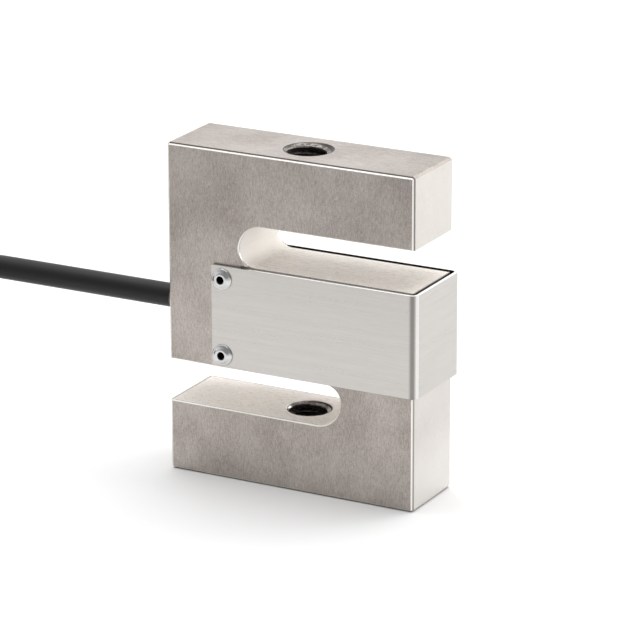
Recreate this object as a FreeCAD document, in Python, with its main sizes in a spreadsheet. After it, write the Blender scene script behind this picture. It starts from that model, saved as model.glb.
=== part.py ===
import FreeCAD, Part
import Sketcher
import math
import os

os.makedirs("parts", exist_ok=True)

# S-shaped load cell with a folded cover, four blind rivets and a cable.
# Frame: origin on the load axis at the bottom face, +Z up along the load axis,
# +X towards the cover's folded end, -X towards the cable, -Y is the front.

doc = FreeCAD.newDocument("load_cell")
sheet = doc.addObject("Spreadsheet::Sheet", "Sizes")
sizes = {
    # Spring body: one milled block
    "body_width": 50.8,  # overall width along X
    "body_height": 63.5,  # overall height along Z
    "body_depth": 15.5,  # overall depth along Y
    "arm_height": 13.65,  # lower and upper arm
    "slot_height": 8.1,  # each slot, arm to bar
    "column_width": 14.9,  # solid column at the closed end of a slot
    "slot_bar_radius": 3.1,  # slot end radius on the bar's side, the rest is the arm's
    "edge_break": 0.45,  # chamfer on the block's outer edges
    "slot_edge_break": 0.2,  # chamfer on the slots' rims
    "relief_depth": 0.5,  # clearance milled under the cover, front and back
    "relief_end_depth": 0.25,  # clearance milled under the cover's end plate
    "relief_margin": 0.5,  # relief begins this far past the column
    "relief_rise": 0.25,  # relief runs on above the bar
    # Mounting threads, M8
    "thread_radius": 4.0,  # major radius
    "thread_ring_radius": 4.75,  # countersink at the outer faces
    "thread_inner_ring_radius": 4.45,  # countersink inside the slots
    "countersink_angle": 120.0,  # included angle
    # Sensing web between two round pockets
    "pocket_radius": 7.0,  # gauge pocket
    "web_thickness": 2.5,  # wall left between the pockets
    "gauge_length": 4.6,  # strain gauge
    "gauge_width": 3.2,  # strain gauge
    "foil_thickness": 0.1,  # gauge and terminal foil
    "gauge_spread": 3.0,  # gauge centre from the bar's middle
    "gauge_angle": 45.0,  # shear direction
    "terminal_length": 2.5,  # solder terminal along X
    "terminal_height": 4.6,  # solder terminal along Z
    "terminal_centre": 5.05,  # terminal from the load axis
    "resistor_length": 1.6,  # balance resistor along X
    "resistor_height": 3.2,  # balance resistor along Z
    "resistor_thickness": 0.5,  # balance resistor
    "resistor_centre": 4.3,  # resistor from the load axis
    "sealant_thickness": 3.0,  # potting in each pocket
    "sealant_clearance": 0.3,  # potting above the wires
    # Cover: one folded sheet
    "cover_thickness": 0.6,  # sheet metal
    "cover_lift": 0.35,  # cover's lower edge above the bar's underside
    "cover_drop": 0.1,  # cover's upper edge below the bar's top
    "cover_start": 9.6,  # cover begins this far from the cable side
    "cover_end_gap": 0.28,  # end plate stands off the block's end
    "cover_front_gap": 0.2,  # front plate stands off the block, on a pad
    "cover_back_gap": 1.0,  # back plate stands off the block, on a pad
    "cover_bend_radius": 1.5,  # outer radius of a fold
    "pad_inset": 0.3,  # rubber pad keeps back from the cover's edges
    # Blind rivets
    "rivet_inset": 2.2,  # rivet from the cover's end towards the cable
    "rivet_upper_inset": 2.55,  # upper rivet below the cover's upper edge
    "rivet_lower_inset": 2.35,  # lower rivet above the cover's lower edge
    "rivet_head_radius": 2.075,  # dome head
    "rivet_head_rim": 0.25,  # edge of the head
    "rivet_head_rise": 0.7,  # height at the crown
    "rivet_crown_radius": 1.25,  # flat crown round the bore
    "rivet_bore_radius": 0.675,  # open bore
    "rivet_sleeve_radius": 1.6,  # sleeve
    "rivet_sleeve_length": 4.8,  # sleeve below the head
    "rivet_hole_clearance": 0.05,  # hole in the cover and the body round the sleeve
    "rivet_hole_room": 1.2,  # blind hole beyond the mandrel
    "mandrel_clearance": 0.03,  # stub in the bore
    "mandrel_head_radius": 1.3,  # mandrel head
    "mandrel_head_length": 1.2,  # mandrel head
    "mandrel_sunk": 2.6,  # break below the head's seat
    # Cable entry
    "cable_radius": 2.25,  # jacket
    "ferrule_wall": 0.45,  # ferrule round the jacket
    "ferrule_out": 3.0,  # ferrule stands out
    "ferrule_in": 5.0,  # ferrule in the body
    "cable_bore_clearance": 0.05,  # bore beyond the ferrule
    "cable_bore_overrun": 0.4,  # bore runs into the gauge pockets
    "cable_in": 14.0,  # jacket ends this far inside
    "cable_drop": 0.45,  # cable axis below the bar's middle
    "core_radius": 0.35,  # conductor inside the body
    "core_spacing": 1.0,  # between the two conductors of a pair
    "core_reach": 0.9,  # conductor ends short of the terminal's far edge
    # Cable outside, hank and its end
    "hank_fold_radius": 14.1,  # centre line of the innermost turn at a fold
    "hank_fold_offset": 32.0,  # fold centre from the hank's middle
    "hank_eye_blunt": 0.8,  # half width of an eye at its narrow end
    "hank_layers": 6,  # layers of the hank
    "hank_columns": 2,  # turns side by side
    "hank_entry_clearance": 1.0,  # cable joins its turn this far before they touch
    "tie_width": 4.8,  # band round the hank
    "tie_thickness": 1.0,  # band round the hank
    "sleeve_radius": 2.65,  # shrink sleeve on the cable's end
    "sleeve_length": 9.0,  # shrink sleeve on the cable's end
    "sleeve_clearance": 0.4,  # shrink sleeve clear of the turns
    "lead_radius": 0.6,  # insulated lead
    "lead_length": 24.0,  # free lead
    "drain_radius": 0.4,  # bare screen wire
    "lead_clearance": 0.15,  # leads clear of the sleeve and of the table
}
for row, (alias, amount) in enumerate(sizes.items(), start=1):
    sheet.set(f"A{row}", alias)
    sheet.set(f"B{row}", str(amount))
    sheet.setAlias(f"B{row}", alias)
doc.recompute()

origin_role = {"XY": "XY_Plane", "XZ": "XZ_Plane", "YZ": "YZ_Plane"}


aliases = set(sizes)
near = 1e-4  # two places closer than this are one


def val(alias):
    """The value of a cell as a plain number."""
    return float(getattr(sheet, alias))


def cell(expression):
    """Spell the sheet's aliases in an expression as references to its cells."""
    words = []
    for word in expression.replace("(", " ( ").replace(")", " ) ").split():
        known = word in aliases
        words.append(f"Sizes.{word}" if known else word)
    return " ".join(words)


def number(expression):
    """Evaluate such an expression for its sign and first value."""
    words = []
    for word in expression.replace("(", " ( ").replace(")", " ) ").split():
        words.append(repr(val(word)) if word in aliases else word)
    return calculate(words)


def calculate(words):
    """A sum of products with brackets, read from left to right."""
    rest = list(words)

    def factor():
        word = rest.pop(0)
        if word == "-":
            return -factor()
        if word == "(":
            inner = total()
            rest.pop(0)
            return inner
        return float(word)

    def product():
        result = factor()
        while rest and rest[0] in ("*", "/"):
            sign = rest.pop(0)
            other = factor()
            result = result * other if sign == "*" else result / other
        return result

    def total():
        result = product()
        while rest and rest[0] in ("+", "-"):
            sign = rest.pop(0)
            other = product()
            result = result + other if sign == "+" else result - other
        return result

    return total()


def body_named(name):
    """A new body whose label names its file."""
    body = doc.addObject("PartDesign::Body", name)
    body.Label = name
    return body


def sketch_on(body, name, plane, offset="0"):
    """A sketch on one of the body's own origin planes, moved along its normal."""
    sketch = body.newObject("Sketcher::SketchObject", name)
    role = origin_role[plane]
    support = [f for f in body.Origin.OriginFeatures if f.Role == role][0]
    sketch.AttachmentSupport = [(support, "")]
    sketch.MapMode = "FlatFace"
    if offset != "0":
        sketch.AttachmentOffset = FreeCAD.Placement(
            FreeCAD.Vector(0, 0, number(offset)), FreeCAD.Rotation()
        )
        sketch.setExpression("AttachmentOffset.Base.z", cell(offset))
    return sketch


def pin_point(sketch, geometry, end, across, along, tag):
    """Hold a point of the sketch at two sizes from its origin."""
    for word, kind, axis in ((across, "DistanceX", -2), (along, "DistanceY", -1)):
        value = number(word)
        label = f"{tag}{kind[-1].lower()}"
        if abs(value) < 1e-9:
            sketch.addConstraint(Sketcher.Constraint("PointOnObject", geometry, end, axis))
        elif value > 0:
            at = sketch.addConstraint(
                Sketcher.Constraint(kind, -1, 1, geometry, end, value)
            )
            sketch.renameConstraint(at, label)
            sketch.setExpression(f"Constraints.{label}", cell(word))
        else:
            at = sketch.addConstraint(
                Sketcher.Constraint(kind, geometry, end, -1, 1, -value)
            )
            sketch.renameConstraint(at, label)
            sketch.setExpression(f"Constraints.{label}", cell(f"- ( {word} )"))


def outline(sketch, points, tag="p", arcs=None):
    """A closed outline of straight lines, or arcs where a radius is given for a side."""
    arcs = arcs or {}
    spots = [FreeCAD.Vector(number(a), number(b), 0) for a, b in points]
    count = len(spots)
    first = sketch.GeometryCount
    ends = []
    for k in range(count):
        start = spots[k]
        stop = spots[(k + 1) % count]
        if k in arcs:
            radius = number(arcs[k][0])
            side = arcs[k][1]
            middle = (start + stop) * 0.5
            chord = stop - start
            normal = FreeCAD.Vector(-chord.y, chord.x, 0).normalize() * side
            half = chord.Length / 2
            sagitta = radius - math.sqrt(radius * radius - half * half)
            arc = Part.Arc(start, middle + normal * sagitta, stop)
            index = sketch.addGeometry(arc, False)
            begin = sketch.getPoint(index, 1)
            forwards = (begin - start).Length < (begin - stop).Length
            ends.append((1, 2) if forwards else (2, 1))
        else:
            sketch.addGeometry(Part.LineSegment(start, stop), False)
            ends.append((1, 2))
    for k in range(count):
        after = (k + 1) % count
        sketch.addConstraint(
            Sketcher.Constraint(
                "Coincident", first + k, ends[k][1], first + after, ends[after][0]
            )
        )
    for k in range(count):
        pin_point(sketch, first + k, ends[k][0], points[k][0], points[k][1], f"{tag}{k}")
    for k in arcs:
        at = sketch.addConstraint(
            Sketcher.Constraint("Radius", first + k, number(arcs[k][0]))
        )
        label = f"{tag}{k}r"
        sketch.renameConstraint(at, label)
        sketch.setExpression(f"Constraints.{label}", cell(arcs[k][0]))


def circle(sketch, across, along, radius, tag="c"):
    """A circle held by its centre and its radius."""
    spot = FreeCAD.Vector(number(across), number(along), 0)
    geometry = sketch.addGeometry(
        Part.Circle(spot, FreeCAD.Vector(0, 0, 1), number(radius)), False
    )
    pin_point(sketch, geometry, 3, across, along, tag)
    at = sketch.addConstraint(Sketcher.Constraint("Radius", geometry, number(radius)))
    label = f"{tag}r"
    sketch.renameConstraint(at, label)
    sketch.setExpression(f"Constraints.{label}", cell(radius))


def pad(body, name, sketch, length, midplane=False, backwards=False):
    """Extrude a sketch into the body."""
    feature = body.newObject("PartDesign::Pad", name)
    feature.Profile = sketch
    feature.Length = number(length)
    feature.setExpression("Length", cell(length))
    feature.Midplane = midplane
    feature.Reversed = backwards
    doc.recompute()
    body.Tip = feature
    return feature


def pocket(body, name, sketch, length=None, midplane=False, backwards=False):
    """Cut a sketch out of the body, and make sure that it removed something."""
    before = body.Shape.Volume
    feature = body.newObject("PartDesign::Pocket", name)
    feature.Profile = sketch
    if length is None:
        feature.Type = "ThroughAll"
    else:
        feature.Length = number(length)
        feature.setExpression("Length", cell(length))
    feature.Midplane = midplane
    feature.Reversed = backwards
    doc.recompute()
    body.Tip = feature
    doc.recompute()
    if body.Shape.Volume > before - 1e-6:
        raise RuntimeError(f"{name} cuts nothing")
    return feature


def edges_where(feature, test):
    """Names of the feature's edges that a test picks."""
    names = []
    for k, edge in enumerate(feature.Shape.Edges):
        if test(edge):
            names.append(f"Edge{k + 1}")
    return names


def dress(body, kind, name, base, test, key, expression):
    """A fillet or a chamfer on the edges that a test picks."""
    feature = body.newObject(f"PartDesign::{kind}", name)
    feature.Base = (base, edges_where(base, test))
    setattr(feature, key, number(expression))
    feature.setExpression(key, cell(expression))
    doc.recompute()
    body.Tip = feature
    doc.recompute()
    return feature


# Places that several pieces share, each spelled once from the sheet
half_width = "body_width / 2"
half_depth = "body_depth / 2"
bar_low = "( arm_height + slot_height )"
bar_high = "( body_height - arm_height - slot_height )"
bar_mid = "( body_height / 2 )"
cable_level = f"( {bar_mid} - cable_drop )"
upper_wall = "( - body_width / 2 + column_width )"
lower_wall = "( body_width / 2 - column_width )"
web_face = "( web_thickness / 2 )"
rivet_across = "( - body_width / 2 + cover_start + rivet_inset )"
ferrule_radius = "( cable_radius + ferrule_wall )"
rivet_hole_radius = "( rivet_sleeve_radius + rivet_hole_clearance )"
cover_low = f"( {bar_low} + cover_lift )"
cover_high = f"( {bar_high} - cover_drop )"
rivet_high = f"( {cover_high} - rivet_upper_inset )"
rivet_low = f"( {cover_low} + rivet_lower_inset )"
rivet_hole_depth = (
    "rivet_sleeve_length - cover_thickness - cover_front_gap"
    " + mandrel_head_length + rivet_hole_room"
)
cover_left = "( - body_width / 2 + cover_start )"
cover_inside = "( body_width / 2 + cover_end_gap )"
cover_outside = "( body_width / 2 + cover_end_gap + cover_thickness )"
front_inside = "( body_depth / 2 + cover_front_gap )"
front_face = "( body_depth / 2 + cover_front_gap + cover_thickness )"
back_inside = "( body_depth / 2 + cover_back_gap )"
back_face = "( body_depth / 2 + cover_back_gap + cover_thickness )"

# Spring body: block, slots, relief, pockets and holes
spring = body_named("spring_body")
block_sketch = sketch_on(spring, "block_outline", "XZ")
outline(
    block_sketch,
    [
        (f"- {half_width}", "0"),
        (half_width, "0"),
        (half_width, "body_height"),
        (f"- {half_width}", "body_height"),
    ],
)
block = pad(spring, "block", block_sketch, "body_depth", midplane=True)
broken = dress(
    spring, "Chamfer", "outer_edges", block, lambda edge: True, "Size", "edge_break"
)

slot_sketch = sketch_on(spring, "slot_outlines", "XZ")
beyond = "( body_width )"
arm_radius = "( slot_height - slot_bar_radius )"
outline(
    slot_sketch,
    [
        (f"{upper_wall} + slot_bar_radius", bar_high),
        (beyond, bar_high),
        (beyond, "( body_height - arm_height )"),
        (f"{upper_wall} + {arm_radius}", "( body_height - arm_height )"),
        (upper_wall, f"{bar_high} + slot_bar_radius"),
    ],
    "u",
    arcs={3: (arm_radius, -1), 4: ("slot_bar_radius", -1)},
)
outline(
    slot_sketch,
    [
        (f"- {beyond}", "arm_height"),
        (f"{lower_wall} - {arm_radius}", "arm_height"),
        (lower_wall, f"arm_height + {arm_radius}"),
        (f"{lower_wall} - slot_bar_radius", bar_low),
        (f"- {beyond}", bar_low),
    ],
    "w",
    arcs={1: (arm_radius, -1), 2: ("slot_bar_radius", -1)},
)
slots = pocket(spring, "slots", slot_sketch, midplane=True)


def on_slot_rim(edge):
    """Edges of the slots in the front and back faces."""
    front = number(half_depth)
    low = number("arm_height") - near
    high = number(bar_low) + near
    top = number("body_height")
    inner_right = number(half_width) - number("edge_break") + near
    for vertex in edge.Vertexes:
        spot = vertex.Point
        if abs(abs(spot.y) - front) > near:
            return False
        in_lower = low < spot.z < high
        in_upper = top - high < spot.z < top - low
        if not (in_lower or in_upper):
            return False
        if abs(spot.x) > inner_right:
            return False
    middle = edge.valueAt((edge.FirstParameter + edge.LastParameter) / 2)
    return abs(abs(middle.y) - front) < near


rims = dress(
    spring, "Chamfer", "slot_rims", slots, on_slot_rim, "Size", "slot_edge_break"
)

relief_left = "( - body_width / 2 + column_width + relief_margin )"
relief_top = f"( {bar_high} + relief_rise )"
relief_face = "( body_depth / 2 - relief_depth )"
for name, backwards, offset in (
    ("relief_front", False, relief_face),
    ("relief_back", True, f"( - {relief_face} )"),
):
    relief_sketch = sketch_on(spring, f"{name}_outline", "XZ", offset)
    outline(
        relief_sketch,
        [
            (relief_left, bar_low),
            (beyond, bar_low),
            (beyond, relief_top),
            (relief_left, relief_top),
        ],
    )
    pocket(spring, name, relief_sketch, "body_depth", backwards=not backwards)

end_sketch = sketch_on(spring, "relief_end_outline", "XZ")
outline(
    end_sketch,
    [
        (f"{half_width} - relief_end_depth", bar_low),
        (beyond, bar_low),
        (beyond, relief_top),
        (f"{half_width} - relief_end_depth", relief_top),
    ],
)
pocket(spring, "relief_end", end_sketch, "body_depth * 2", midplane=True)

for name, backwards, offset in (
    ("gauge_pocket_front", False, web_face),
    ("gauge_pocket_back", True, f"( - {web_face} )"),
):
    gauge_sketch = sketch_on(spring, f"{name}_outline", "XZ", offset)
    circle(gauge_sketch, "0", bar_mid, "pocket_radius")
    pocket(spring, name, gauge_sketch, "body_depth", backwards=not backwards)

ferrule_sketch = sketch_on(spring, "ferrule_seat_outline", "YZ", f"( - {half_width} )")
circle(ferrule_sketch, "0", cable_level, ferrule_radius)
pocket(spring, "ferrule_seat", ferrule_sketch, "ferrule_in", backwards=True)
bore_sketch = sketch_on(spring, "cable_bore_outline", "YZ", f"( - {half_width} )")
circle(bore_sketch, "0", cable_level, "( cable_radius + cable_bore_clearance )")
pocket(
    spring,
    "cable_bore",
    bore_sketch,
    f"{half_width} - pocket_radius + cable_bore_overrun",
    backwards=True,
)

for name, backwards, offset in (
    ("rivet_holes_front", False, half_depth),
    ("rivet_holes_back", True, f"( - {half_depth} )"),
):
    rivet_sketch = sketch_on(spring, f"{name}_outline", "XZ", f"( {offset} )")
    for tag, level in (("a", rivet_high), ("b", rivet_low)):
        circle(rivet_sketch, rivet_across, level, rivet_hole_radius, tag)
    pocket(spring, name, rivet_sketch, rivet_hole_depth, backwards=backwards)

lower_bore_sketch = sketch_on(spring, "lower_bore_outline", "XY")
circle(lower_bore_sketch, "0", "0", "thread_radius")
pocket(spring, "lower_bore", lower_bore_sketch, "arm_height", backwards=True)
upper_bore_sketch = sketch_on(spring, "upper_bore_outline", "XY", "body_height")
circle(upper_bore_sketch, "0", "0", "thread_radius")
pocket(spring, "upper_bore", upper_bore_sketch, "arm_height")

# Countersinks of both bores, turned about the load axis
slope_row = len(sizes) + 1
sheet.set(f"A{slope_row}", "sink_slope")
sheet.set(f"B{slope_row}", "=1 / tan(countersink_angle / 2 * 1 deg)")
sheet.setAlias(f"B{slope_row}", "sink_slope")
aliases.add("sink_slope")
doc.recompute()
sink_sketch = sketch_on(spring, "countersink_outlines", "XZ")
for tag, base, ring, sign in (
    ("a", "0", "thread_ring_radius", "+"),
    ("b", "arm_height", "thread_inner_ring_radius", "-"),
    ("c", "( body_height - arm_height )", "thread_inner_ring_radius", "+"),
    ("d", "body_height", "thread_ring_radius", "-"),
):
    outline(
        sink_sketch,
        [("0", base), (ring, base), ("0", f"{base} {sign} {ring} * sink_slope")],
        tag,
    )
before_sinks = spring.Shape.Volume
sinks = spring.newObject("PartDesign::Groove", "countersinks")
sinks.Profile = sink_sketch
sinks.ReferenceAxis = (sink_sketch, ["V_Axis"])
sinks.Angle = 360
doc.recompute()
spring.Tip = sinks
doc.recompute()
if spring.Shape.Volume > before_sinks - 1e-6:
    raise RuntimeError("the countersinks cut nothing")

# Cover: sheet folded twice round the bar's end, held by four rivets
cover = body_named("cover_sheet")
cover_sketch = sketch_on(cover, "cover_section", "XY", cover_low)
outline(
    cover_sketch,
    [
        (cover_left, f"- {front_face}"),
        (cover_outside, f"- {front_face}"),
        (cover_outside, back_face),
        (cover_left, back_face),
        (cover_left, back_inside),
        (cover_inside, back_inside),
        (cover_inside, f"- {front_inside}"),
        (cover_left, f"- {front_inside}"),
    ],
)
folded = pad(cover, "folded_sheet", cover_sketch, f"{cover_high} - {cover_low}")


def fold_line(across, front, back):
    """A test for an upright edge of the cover at one of its two folds."""
    column = number(across)
    planes = (-number(front), number(back))

    def test(edge):
        start = edge.Vertexes[0].Point
        stop = edge.Vertexes[-1].Point
        upright = abs(start.x - stop.x) < near and abs(start.y - stop.y) < near
        beside = min(abs(start.y - plane) for plane in planes) < near
        return upright and beside and abs(start.x - column) < near

    return test


outer_folds = dress(
    cover,
    "Fillet",
    "outer_folds",
    folded,
    fold_line(cover_outside, front_face, back_face),
    "Radius",
    "cover_bend_radius",
)
dress(
    cover,
    "Fillet",
    "inner_folds",
    outer_folds,
    fold_line(cover_inside, front_inside, back_inside),
    "Radius",
    "cover_bend_radius - cover_thickness",
)
hole_sketch = sketch_on(cover, "cover_hole_outlines", "XZ")
for tag, level in (("a", rivet_high), ("b", rivet_low)):
    circle(hole_sketch, rivet_across, level, rivet_hole_radius, tag)
pocket(cover, "cover_holes", hole_sketch, "body_depth * 2", midplane=True)

# Rubber pads between the block and the cover's riveted ends
for side, offset, thick in (
    ("front", half_depth, "cover_front_gap"),
    ("back", f"( - {half_depth} )", "cover_back_gap"),
):
    rubber = body_named(f"cover_pad_{side}")
    pad_sketch = sketch_on(rubber, f"cover_pad_{side}_outline", "XZ", offset)
    outline(
        pad_sketch,
        [
            (f"{cover_left} + pad_inset", f"{cover_low} + pad_inset"),
            (relief_left, f"{cover_low} + pad_inset"),
            (relief_left, f"{cover_high} - pad_inset"),
            (f"{cover_left} + pad_inset", f"{cover_high} - pad_inset"),
        ],
    )
    for tag, level in (("a", rivet_high), ("b", rivet_low)):
        circle(pad_sketch, rivet_across, level, rivet_hole_radius, tag)
    pad(rubber, f"cover_pad_{side}_sheet", pad_sketch, thick, backwards=side == "back")


def place(body, across, sideways, level, rotation=None):
    """Set a body's place from the sheet and keep it bound to the cells."""
    turn = rotation or FreeCAD.Rotation()
    spot = FreeCAD.Vector(number(across), number(sideways), number(level))
    body.Placement = FreeCAD.Placement(spot, turn)
    for key, word in (("x", across), ("y", sideways), ("z", level)):
        body.setExpression(f"Placement.Base.{key}", cell(word))


facing_front = FreeCAD.Rotation(FreeCAD.Vector(1, 0, 0), 90)
facing_back = FreeCAD.Rotation(FreeCAD.Vector(1, 0, 0), -90)

# Rivets and the broken-off mandrels inside them, turned about their own axis
for side, sideways, turn in (
    ("front", f"( - {front_face} )", facing_front),
    ("back", back_face, facing_back),
):
    for spot, level in (("upper", rivet_high), ("lower", rivet_low)):
        rivet = body_named(f"rivet_{side}_{spot}")
        rivet_sketch = sketch_on(rivet, f"rivet_{side}_{spot}_section", "XZ")
        outline(
            rivet_sketch,
            [
                ("rivet_bore_radius", "- rivet_sleeve_length"),
                ("rivet_sleeve_radius", "- rivet_sleeve_length"),
                ("rivet_sleeve_radius", "0"),
                ("rivet_head_radius", "0"),
                ("rivet_head_radius", "rivet_head_rim"),
                ("rivet_crown_radius", "rivet_head_rise"),
                ("rivet_bore_radius", "rivet_head_rise"),
            ],
        )
        turned = rivet.newObject("PartDesign::Revolution", f"rivet_{side}_{spot}_turned")
        turned.Profile = rivet_sketch
        turned.ReferenceAxis = (rivet_sketch, ["V_Axis"])
        turned.Angle = 360
        doc.recompute()
        rivet.Tip = turned
        place(rivet, rivet_across, sideways, level, turn)

        mandrel = body_named(f"mandrel_{side}_{spot}")
        mandrel_sketch = sketch_on(mandrel, f"mandrel_{side}_{spot}_section", "XZ")
        stub = "rivet_bore_radius - mandrel_clearance"
        foot = "( - rivet_sleeve_length - mandrel_head_length )"
        outline(
            mandrel_sketch,
            [
                ("0", foot),
                ("mandrel_head_radius", foot),
                ("mandrel_head_radius", "- rivet_sleeve_length"),
                (stub, "- rivet_sleeve_length"),
                (stub, "- mandrel_sunk"),
                ("0", "- mandrel_sunk"),
            ],
        )
        turned = mandrel.newObject(
            "PartDesign::Revolution", f"mandrel_{side}_{spot}_turned"
        )
        turned.Profile = mandrel_sketch
        turned.ReferenceAxis = (mandrel_sketch, ["V_Axis"])
        turned.Angle = 360
        doc.recompute()
        mandrel.Tip = turned
        place(mandrel, rivet_across, sideways, level, turn)

# Ferrule pressed into the side of the block, round the cable's jacket
ferrule = body_named("cable_ferrule")
ferrule_sketch = sketch_on(ferrule, "ferrule_section", "YZ")
circle(ferrule_sketch, "0", "0", ferrule_radius, "o")
circle(ferrule_sketch, "0", "0", "cable_radius", "i")
pad(ferrule, "ferrule_tube", ferrule_sketch, "ferrule_out + ferrule_in")
place(ferrule, f"( - {half_width} - ferrule_out )", "0", cable_level)

jacket = body_named("cable_inner")
jacket_sketch = sketch_on(jacket, "jacket_section", "YZ")
circle(jacket_sketch, "0", "0", "cable_radius")
pad(jacket, "jacket_end", jacket_sketch, "ferrule_out + cable_in")
place(jacket, f"( - {half_width} - ferrule_out )", "0", cable_level)

# Two pairs of conductors, one to each side of the sensing web
core_side = f"( {web_face} + foil_thickness + core_radius )"
core_start = f"( - {half_width} + cable_in )"
core_end = "( - terminal_centre + terminal_length / 2 - core_reach )"
for side, sign in (("front", "-"), ("back", "")):
    for spot, lift in (("upper", "+"), ("lower", "-")):
        core = doc.addObject("Part::Cylinder", f"core_{side}_{spot}")
        core.Label = f"core_{side}_{spot}"
        core.setExpression("Radius", cell("core_radius"))
        core.setExpression("Height", cell(f"{core_end} - {core_start}"))
        place(
            core,
            core_start,
            f"( {sign} {core_side} )",
            f"( {cable_level} {lift} core_spacing / 2 )",
            FreeCAD.Rotation(FreeCAD.Vector(0, 1, 0), 90),
        )


def foil(name, wide, tall, thick, across, level, side):
    """A thin plate on the front or the back of the sensing web."""
    plate = body_named(name)
    plate_sketch = sketch_on(plate, f"{name}_outline", "XZ")
    outline(
        plate_sketch,
        [
            (f"- {wide} / 2", f"- {tall} / 2"),
            (f"{wide} / 2", f"- {tall} / 2"),
            (f"{wide} / 2", f"{tall} / 2"),
            (f"- {wide} / 2", f"{tall} / 2"),
        ],
    )
    front = side == "front"
    pad(plate, f"{name}_plate", plate_sketch, thick, backwards=not front)
    place(plate, across, f"( - {web_face} )" if front else web_face, level)
    return plate


for side in ("front", "back"):
    foil(
        f"terminal_{side}",
        "terminal_length",
        "terminal_height",
        "foil_thickness",
        "- terminal_centre",
        cable_level,
        side,
    )
    for spot, sign, lean in (("upper", "+", 1), ("lower", "-", -1)):
        gauge = foil(
            f"gauge_{side}_{spot}",
            "gauge_length",
            "gauge_width",
            "foil_thickness",
            "0",
            f"( {bar_mid} {sign} gauge_spread )",
            side,
        )
        turn = FreeCAD.Rotation(FreeCAD.Vector(0, 1, 0), lean * val("gauge_angle"))
        spot_now = gauge.Placement.Base
        gauge.Placement = FreeCAD.Placement(spot_now, turn)
foil(
    "balance_resistor",
    "resistor_length",
    "resistor_height",
    "resistor_thickness",
    "resistor_centre",
    bar_mid,
    "front",
)

# Potting over the gauges in each pocket
sealant_face = f"( {web_face} + foil_thickness + core_radius * 2 + sealant_clearance )"
for side, sign, turn in (("front", "-", facing_front), ("back", "", facing_back)):
    sealant = doc.addObject("Part::Cylinder", f"sealant_{side}")
    sealant.Label = f"sealant_{side}"
    sealant.setExpression("Radius", cell("pocket_radius"))
    sealant.setExpression("Height", cell("sealant_thickness"))
    place(sealant, "0", f"( {sign} {sealant_face} )", bar_mid, turn)

# Free cable: out of the ferrule, straight past the picture's edge, then down
# and aside in two gentle turns to the top layer of the hank
cable_radius = val("cable_radius")
exit_x = number(f"- {half_width} - ferrule_out")
exit_z = number(cable_level)
route = [
    FreeCAD.Vector(exit_x, 0, exit_z),
    FreeCAD.Vector(-72.0, 0, exit_z),
    FreeCAD.Vector(-89.5, 7.0, 24.55),
    FreeCAD.Vector(-102.5, 7.0, 24.55),
]


def cord_wire(points):
    """Straight runs joined by arcs as large as the runs allow, with their radii."""
    edges = []
    radii = []
    at = points[0]
    for k in range(1, len(points) - 1):
        here = points[k]
        back = points[k - 1] - here
        ahead = points[k + 1] - here
        shorter = min(back.Length, ahead.Length)
        back.normalize()
        ahead.normalize()
        turn = math.pi - back.getAngle(ahead)
        reach = 0.45 * shorter
        radius = reach / math.tan(turn / 2)
        first = here + back * reach
        last = here + ahead * reach
        inwards = (back + ahead).normalize()
        centre_gap = radius / math.cos(turn / 2)
        middle = here + inwards * (centre_gap - radius)
        edges.append(Part.LineSegment(at, first).toShape())
        edges.append(Part.Arc(first, middle, last).toShape())
        radii.append(round(radius, 1))
        at = last
    edges.append(Part.LineSegment(at, points[-1]).toShape())
    return Part.Wire(edges), radii


def tube_along(points, radius):
    """A solid tube along such a wire."""
    wire, radii = cord_wire(points)
    heading = (points[1] - points[0]).normalize()
    ring = Part.Wire(Part.Circle(points[0], heading, radius).toShape())
    solid = wire.makePipeShell([ring], True, False)
    return solid, wire.Length, radii


def feature_of(name, shape, spot=None):
    """A plain feature that holds a shape made in this file."""
    feature = doc.addObject("Part::Feature", name)
    feature.Label = name
    feature.Shape = shape
    feature.Placement = FreeCAD.Placement(spot or FreeCAD.Vector(), FreeCAD.Rotation())
    return feature


cable_shape, free_length, free_radii = tube_along(route, cable_radius)
expected = math.pi * cable_radius**2 * free_length
print("cable radii", free_radii, "volume share", round(cable_shape.Volume / expected, 4))
feature_of("cable", cable_shape)

# Hank: turns folded round two eyes and pinched in the middle by a tie
diameter = 2 * cable_radius
fold = val("hank_fold_radius")
reach = val("hank_fold_offset")
columns = int(val("hank_columns"))
layers = int(val("hank_layers"))
outer_turn = fold + (columns - 1) * diameter
merge_run = math.sqrt(
    (outer_turn + cable_radius) ** 2 - (outer_turn - cable_radius) ** 2
)
hank_middle = FreeCAD.Vector(
    route[-1].x - val("hank_entry_clearance") - merge_run - reach,
    route[-1].y - outer_turn,
    0,
)
waist = cable_radius
neck = (reach**2 + waist**2 - fold**2) / (2 * (fold - waist))
hank_height = layers * diameter


def bone_wire(offset):
    """Outline of the hank at a distance from its innermost centre line."""
    outer = fold + offset
    inner = neck - offset
    lean = math.atan2(reach, waist + neck)
    tangent_x = reach - outer * math.sin(lean)
    tangent_y = outer * math.cos(lean)
    arcs = []
    corners = {
        "right_back": FreeCAD.Vector(tangent_x, tangent_y, 0),
        "left_back": FreeCAD.Vector(-tangent_x, tangent_y, 0),
        "left_front": FreeCAD.Vector(-tangent_x, -tangent_y, 0),
        "right_front": FreeCAD.Vector(tangent_x, -tangent_y, 0),
    }
    dip = waist + neck - inner
    for first, middle, last in (
        ("right_back", FreeCAD.Vector(0, dip, 0), "left_back"),
        ("left_back", FreeCAD.Vector(-reach - outer, 0, 0), "left_front"),
        ("left_front", FreeCAD.Vector(0, -dip, 0), "right_front"),
        ("right_front", FreeCAD.Vector(reach + outer, 0, 0), "right_back"),
    ):
        arcs.append(Part.Arc(corners[first], middle, corners[last]).toShape())
    return Part.Wire(arcs)


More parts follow.
